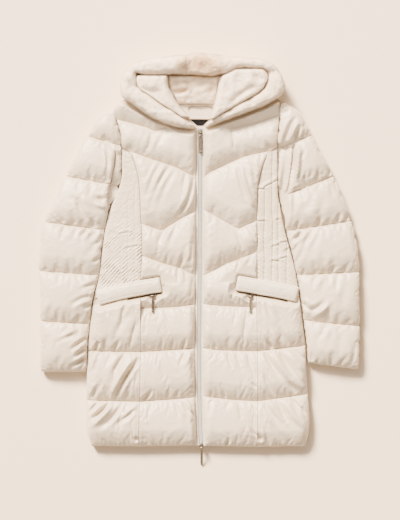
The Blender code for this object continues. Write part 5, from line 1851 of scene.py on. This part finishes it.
COIL_TOP, COIL_BOTTOM = 301.2, -440.0
COIL_STEP = 0.95
COIL_TOOTH = (2.9, 0.72, 2.9)
COIL_LEVEL = 17.8

coil_y = np.arange(COIL_TOP, COIL_BOTTOM, -COIL_STEP)
coil_route = np.stack([zip_x(coil_y), coil_y], -1)
teeth("zip_coil", coil_route, COIL_TOOTH, COIL_LEVEL, COIL, "zip_coil", ["zip_chain"])

# %% [markdown]
# ## The metal sliders and their pulls
#
# A zip slider is a small die casting: two plates, a bridge on top that holds the pull's pin,
# and a long pull that hinges on it. Each is a stack of rings of points, with smaller rings at
# both ends for the rounded edges. Each pull rides on its own body, so it turns with its hinge.

# %% Plates, lugs and pins
def rounded_outline(half_x, half_y, roundness):
    angle = ring_angles(36)
    x = squarish(np.cos(angle), roundness) * half_x
    y = squarish(np.sin(angle), roundness) * half_y
    return np.stack([x, y], -1)


ROUND_EDGE = ((0.0, 0.86), (0.12, 0.96), (0.3, 1.0), (0.7, 1.0), (0.88, 0.96), (1.0, 0.86))


def plate(outline, middle, low, high):
    """A plate from one level to another, with rounded edges."""
    rings = []
    for share, size in ROUND_EDGE:
        level = np.full(len(outline), mix(low, high, share))
        rings.append(np.column_stack([outline * size + middle, level]))
    return np.array(rings)


def lug(x_middle, thickness, pin_y, pin_z, low, radius):
    """An upright ear with a round top, which holds one end of the pin."""
    angle = np.pi * np.arange(13) / 12
    arch = [(radius * math.cos(a), radius * math.sin(a)) for a in angle]
    outline = np.array(arch + [(-radius, low - pin_z), (radius, low - pin_z)])
    rings = []
    for share, size in ROUND_EDGE:
        ring = np.zeros((len(outline), 3))
        ring[:, 0] = x_middle + (share - 0.5) * thickness
        ring[:, 1:] = outline * (size if 0 < share < 1 else 0.88) + (pin_y, pin_z)
        rings.append(ring)
    return np.array(rings)


def pin(x_low, x_high, pin_y, pin_z, radius=0.9):
    angle = ring_angles(16)
    rings = []
    for at, size in ((x_low, 0.7), (x_low + 0.2, 1), (x_high - 0.2, 1), (x_high, 0.7)):
        rings.append(np.column_stack([np.full(16, at), pin_y + radius * size * np.cos(angle),
                                      pin_z + radius * size * np.sin(angle)]))
    return np.array(rings)


# %% The four sliders
def slider(name, node, middle, half_size, low, pin_at):
    """middle and half_size give the plates; pin_at is where the pull hinges."""
    (x, y), (half_x, half_y), (pin_x, pin_y, pin_z) = middle, half_size, pin_at
    top = pin_z - 3.0
    wide = rounded_outline(half_x, half_y, 0.55)
    wide[:, 0] *= 1 - 0.12 * wide[:, 1] / half_y
    stacks = [plate(wide, (x, y), low, low + 0.42 * (top - low)),
              plate(wide * 0.8, (x, y), low + 0.36 * (top - low), low + 0.66 * (top - low)),
              plate(wide, (x, y), low + 0.6 * (top - low), top)]
    for way in (-1, 1):
        stacks.append(lug(pin_x + way * 3.2, 1.3, pin_y, pin_z, top - 0.4, 1.8))
    stacks.append(pin(pin_x - 3.6, pin_x + 3.6, pin_y, pin_z))
    return place(joined(name, stacks, BRONZE_PAINTED_SHADE, sharp=40), "zip_metal", node)


TOP_PIN, HEM_PIN = (1.0, 305.0, 25.8), (4.0, -450.5, 25.8)
POCKET_PIN = {"left": (-113.0, -87.0, 33.1), "right": (121.0, -88.0, 33.1)}
slider("slider_neck", "slider_top", (1.0, 308.2), (4.4, 6.4), 17.8, TOP_PIN)
slider("slider_hem", "slider_bottom", (4.0, -447.2), (4.4, 6.2), 17.8, HEM_PIN)
for side in SIDES:
    pin_x, pin_y, _ = POCKET_PIN[side]
    slider(f"slider_pocket_{side}", f"pocket_slider_{side}", (pin_x, pin_y), (5.6, 2.9), 22.8,
           POCKET_PIN[side])

# %% A pull's eye and blade
EYE_RADIUS = 2.5
EYE_HOLE = 1.45


def eye(pin_at, half_length=1.9):
    """The ring of the pull that turns round the pin, as a stack that closes on itself."""
    section = [(EYE_HOLE, -0.8), (EYE_HOLE, 0.8), (EYE_HOLE + 0.25, 1.0),
               (EYE_RADIUS - 0.3, 1.0), (EYE_RADIUS, 0.75), (EYE_RADIUS, -0.75),
               (EYE_RADIUS - 0.3, -1.0), (EYE_HOLE + 0.25, -1.0)]
    x, y, z = pin_at
    rings = []
    for angle in ring_angles(28):
        rings.append([(x + along * half_length, y + radius * math.cos(angle),
                       z + radius * math.sin(angle)) for radius, along in section])
    return np.array(rings)


def pull_blade(pin_at, length, half_width, droop):
    """The long flat part, from the eye to its round tip, with a shallow recess."""
    along = np.concatenate([np.linspace(2.2, 8.0, 12), np.linspace(8.6, length - 4.0, 26),
                            length - 4.0 * (1 - np.sin(np.linspace(0.1, 1.57, 10)))])
    narrow = 1.6
    width = narrow + (half_width - narrow) * (0.5 - 0.5 * np.cos(
        np.pi * ramp(along - 4.0, 5.0)))
    tip = np.clip((along - (length - 4.0)) / 4.0, 0, 1)
    width = width * np.sqrt(np.maximum(1 - tip**2, 0.01))
    thick = mix(0.9, 1.15, ramp(along - 4.0, 5.0)) * (1 - 0.35 * tip**3)
    angle = ring_angles(40)
    across = squarish(np.cos(angle), 0.45)
    up = squarish(np.sin(angle), 0.45)
    recess = ramp(along - 10.0, 2.0) * ramp(length - 5.0 - along, 2.0)
    inner = np.clip((0.72 - np.abs(across)) / 0.12, 0, 1)
    sunk = 0.5 * recess[:, None] * (inner * (np.abs(up) > 0.8) * np.sign(up))[None]
    x = across[None] * width[:, None]
    height = up[None] * thick[:, None] - sunk
    way, lift = (-math.cos(droop), -math.sin(droop)), (-math.sin(droop), math.cos(droop))
    y = along[:, None] * way[0] + height * lift[0]
    z = along[:, None] * way[1] + height * lift[1]
    return np.stack([x + pin_at[0], y + pin_at[1], z + pin_at[2]], -1)


# %% The four pulls
def pull(name, node, body, pin_at, length, half_width, metal, droop=0.0):
    blade = pull_blade(pin_at, length, half_width, droop)
    piece = joined(name, [blade], metal, sharp=40, hoops=[eye(pin_at)])
    return place(piece, "zip_metal", node, body=body)


ZIP_PULL_LENGTH = 50.0
HEM_DROOP = math.radians(28)

# The hem pull and the right pocket pull take the lighter bronze, a painted highlight; the rest
# take the darker, a painted shade.
pull("pull_neck", "pull_top", "top_tab", TOP_PIN, ZIP_PULL_LENGTH, 3.9, BRONZE_PAINTED_SHADE)
pull("pull_hem", "pull_bottom", "hem_tab", HEM_PIN, ZIP_PULL_LENGTH, 3.2, BRONZE_PAINTED_LIGHT, HEM_DROOP)
for side in SIDES:
    pull(f"pull_pocket_{side}", f"pocket_pull_{side}", f"pocket_tab_{side}", POCKET_PIN[side],
         POCKET_PULL_LENGTH, 2.9, BRONZE_PAINTED_SHADE if side == "left" else BRONZE_PAINTED_LIGHT)

# %% [markdown]
# ## The threads
#
# Every line of quilting is sewn with a cream thread. Each stitch shows as a short raised
# length that dips at both ends, so it is a small capsule; on the welts the stitching runs along
# both edges.

# %% Rows of stitches
THREAD = new_material("cream_thread", (0.70, 0.61, 0.49), 0.5, sheen=0.3)
vary_colour(THREAD, [(0.64, 0.55, 0.43), (0.74, 0.65, 0.53)], 400.0)
STITCH_LENGTH = 2.5
STITCH_PITCH = 3.4
THREAD_RADIUS = 0.3
STITCH_SHAPE = ((-0.5, 0.3, -0.35), (-0.3, 1, 0), (0.3, 1, 0), (0.5, 0.3, -0.35))
SEAM_THREAD_LEVEL = SEAM_TOP + 0.15
WELT_THREAD_LEVEL = PLUSH_FLOOR + 10.4
WELT_THREADS = (14.0, -12.8)


def stitches(name, runs):
    """runs: routes of x, y, z that the stitching follows."""
    points, faces = [], []
    angle = ring_angles(6)
    for run in runs:
        route, _ = smooth_route(run, STITCH_PITCH)
        along = unit(np.gradient(route[:, :2], axis=0))
        for middle, way in zip(route, along):
            left = np.array([-way[1], way[0]])
            start = len(points)
            for share, size, dip in STITCH_SHAPE:
                centre = middle[:2] + way * share * STITCH_LENGTH
                for a in angle:
                    reach = THREAD_RADIUS * size * math.cos(a)
                    points.append((*(centre + left * reach),
                                   middle[2] + dip + THREAD_RADIUS * size * math.sin(a)))
            for k in range(3):
                ring = start + 6 * k + np.arange(6)
                faces += ring_faces(ring, ring + 6)
            faces += [tuple(range(start, start + 6)), tuple(range(start + 18, start + 24))]
    return place(new_piece(name, points, faces, THREAD, 80), "padded_cloth")


# %% Sew the quilting and the welts
def at_level(path, level):
    return [(x, y, level) for x, y in sorted(path)]


for side in SIDES:
    runs = [at_level(path[1:-1], SEAM_THREAD_LEVEL) for path in centre_paths(side)]
    runs += [at_level(path, SEAM_THREAD_LEVEL) for path in lower_side_paths(side)[:-1]]
    stitches(f"quilting_thread_{side}", runs)
    route, _ = smooth_route(WELT_LINE[side], 6.0)
    up = left_of(route)
    up = up if up[0][1] > 0 else -up
    edges = [route[2:-2] + up[2:-2] * across for across in WELT_THREADS]
    stitches(f"welt_thread_{side}", [[(x, y, WELT_THREAD_LEVEL) for x, y in edge]
                                     for edge in edges])

# %% [markdown]
# ## Floor, light and camera
#
# The coat lies on a plain pale floor. One wide lamp stands low beyond the hood, a little to
# the left, so the puffs are bright on their upper sides and the hem throws a short shadow. A
# soft box brightens the chest and the plush, and a pale warm sky fills the shade. The camera
# looks straight down from far off through a long lens.

# %% The floor
FLOOR_COLOUR = (0.82, 0.675, 0.53)
FLOOR_HALF = 6
FLOOR_LEVEL = -0.0005

floor_material = new_material("pale_floor", FLOOR_COLOUR, 0.9, specular=0.2)
floor_mesh = bpy.data.meshes.new("floor")
corners = [(FLOOR_HALF * a, FLOOR_HALF * b, 0) for a, b in ((-1, -1), (1, -1), (1, 1), (-1, 1))]
floor_mesh.from_pydata(corners, [], [(0, 1, 2, 3)])
floor_mesh.materials.append(floor_material)
floor = add_object("floor", floor_mesh)
floor.location.z = FLOOR_LEVEL

# %% The lamp
LAMP_HEIGHT_ANGLE = math.radians(36)
LAMP_TURN = math.radians(30)
LAMP_SOFTNESS = math.radians(16)
LAMP_DISTANCE = 3
LAMP_STRENGTH = 21.5
LAMP_COLOUR = (1.0, 0.86, 0.68)

lamp_data = bpy.data.lights.new("window_light", "SUN")
lamp_data.energy = LAMP_STRENGTH
lamp_data.angle = LAMP_SOFTNESS
lamp_data.color = LAMP_COLOUR
lamp = add_object("window_light", lamp_data)
level = math.cos(LAMP_HEIGHT_ANGLE)
lamp.location = (-LAMP_DISTANCE * level * math.sin(LAMP_TURN),
                 LAMP_DISTANCE * level * math.cos(LAMP_TURN),
                 LAMP_DISTANCE * math.sin(LAMP_HEIGHT_ANGLE))
lamp.rotation_euler = (-lamp.location).to_track_quat("-Z", "Y").to_euler()
print("lamp at", [round(v, 2) for v in lamp.location])

# %% The soft box over the hood
BOX_SIZE = (1.2, 0.5)
BOX_PLACE = (-0.3, 0.8, 1.3)
BOX_TARGET = (0, 0.2, 0)
BOX_POWER = 20.0
BOX_COLOUR = (1.0, 0.93, 0.84)

box_data = bpy.data.lights.new("soft_box", "AREA")
box_data.shape = "RECTANGLE"
box_data.size, box_data.size_y = BOX_SIZE
box_data.energy = BOX_POWER
box_data.color = BOX_COLOUR
box = add_object("soft_box", box_data)
box.location = BOX_PLACE
to_chest = mathutils.Vector(BOX_TARGET) - box.location
box.rotation_euler = to_chest.to_track_quat("-Z", "Y").to_euler()
print("soft box at", [round(v, 2) for v in box.location])

# %% The sky
SKY_COLOUR = (1.0, 0.87, 0.70)
SKY_STRENGTH = 0.8

world = bpy.data.worlds.new("pale_sky")
world.use_nodes = True
sky = world.node_tree.nodes["Background"]
sky.inputs["Color"].default_value = (*SKY_COLOUR, 1)
sky.inputs["Strength"].default_value = SKY_STRENGTH
bpy.context.scene.world = world

# %% The camera, straight above
LENS = 150.0
SENSOR = 36.0
VIEW_HEIGHT = 1.248
VIEW_LEVEL = 0.02
VIEW_MIDDLE = (0.0, -0.0006)

camera_data = bpy.data.cameras.new("overhead_camera")
camera_data.lens = LENS
camera_data.sensor_width = SENSOR
camera = add_object("overhead_camera", camera_data)
camera.location = (*VIEW_MIDDLE, VIEW_LEVEL + VIEW_HEIGHT * LENS / SENSOR)
bpy.context.scene.camera = camera
print("camera height:", round(camera.location.z, 3), "m")
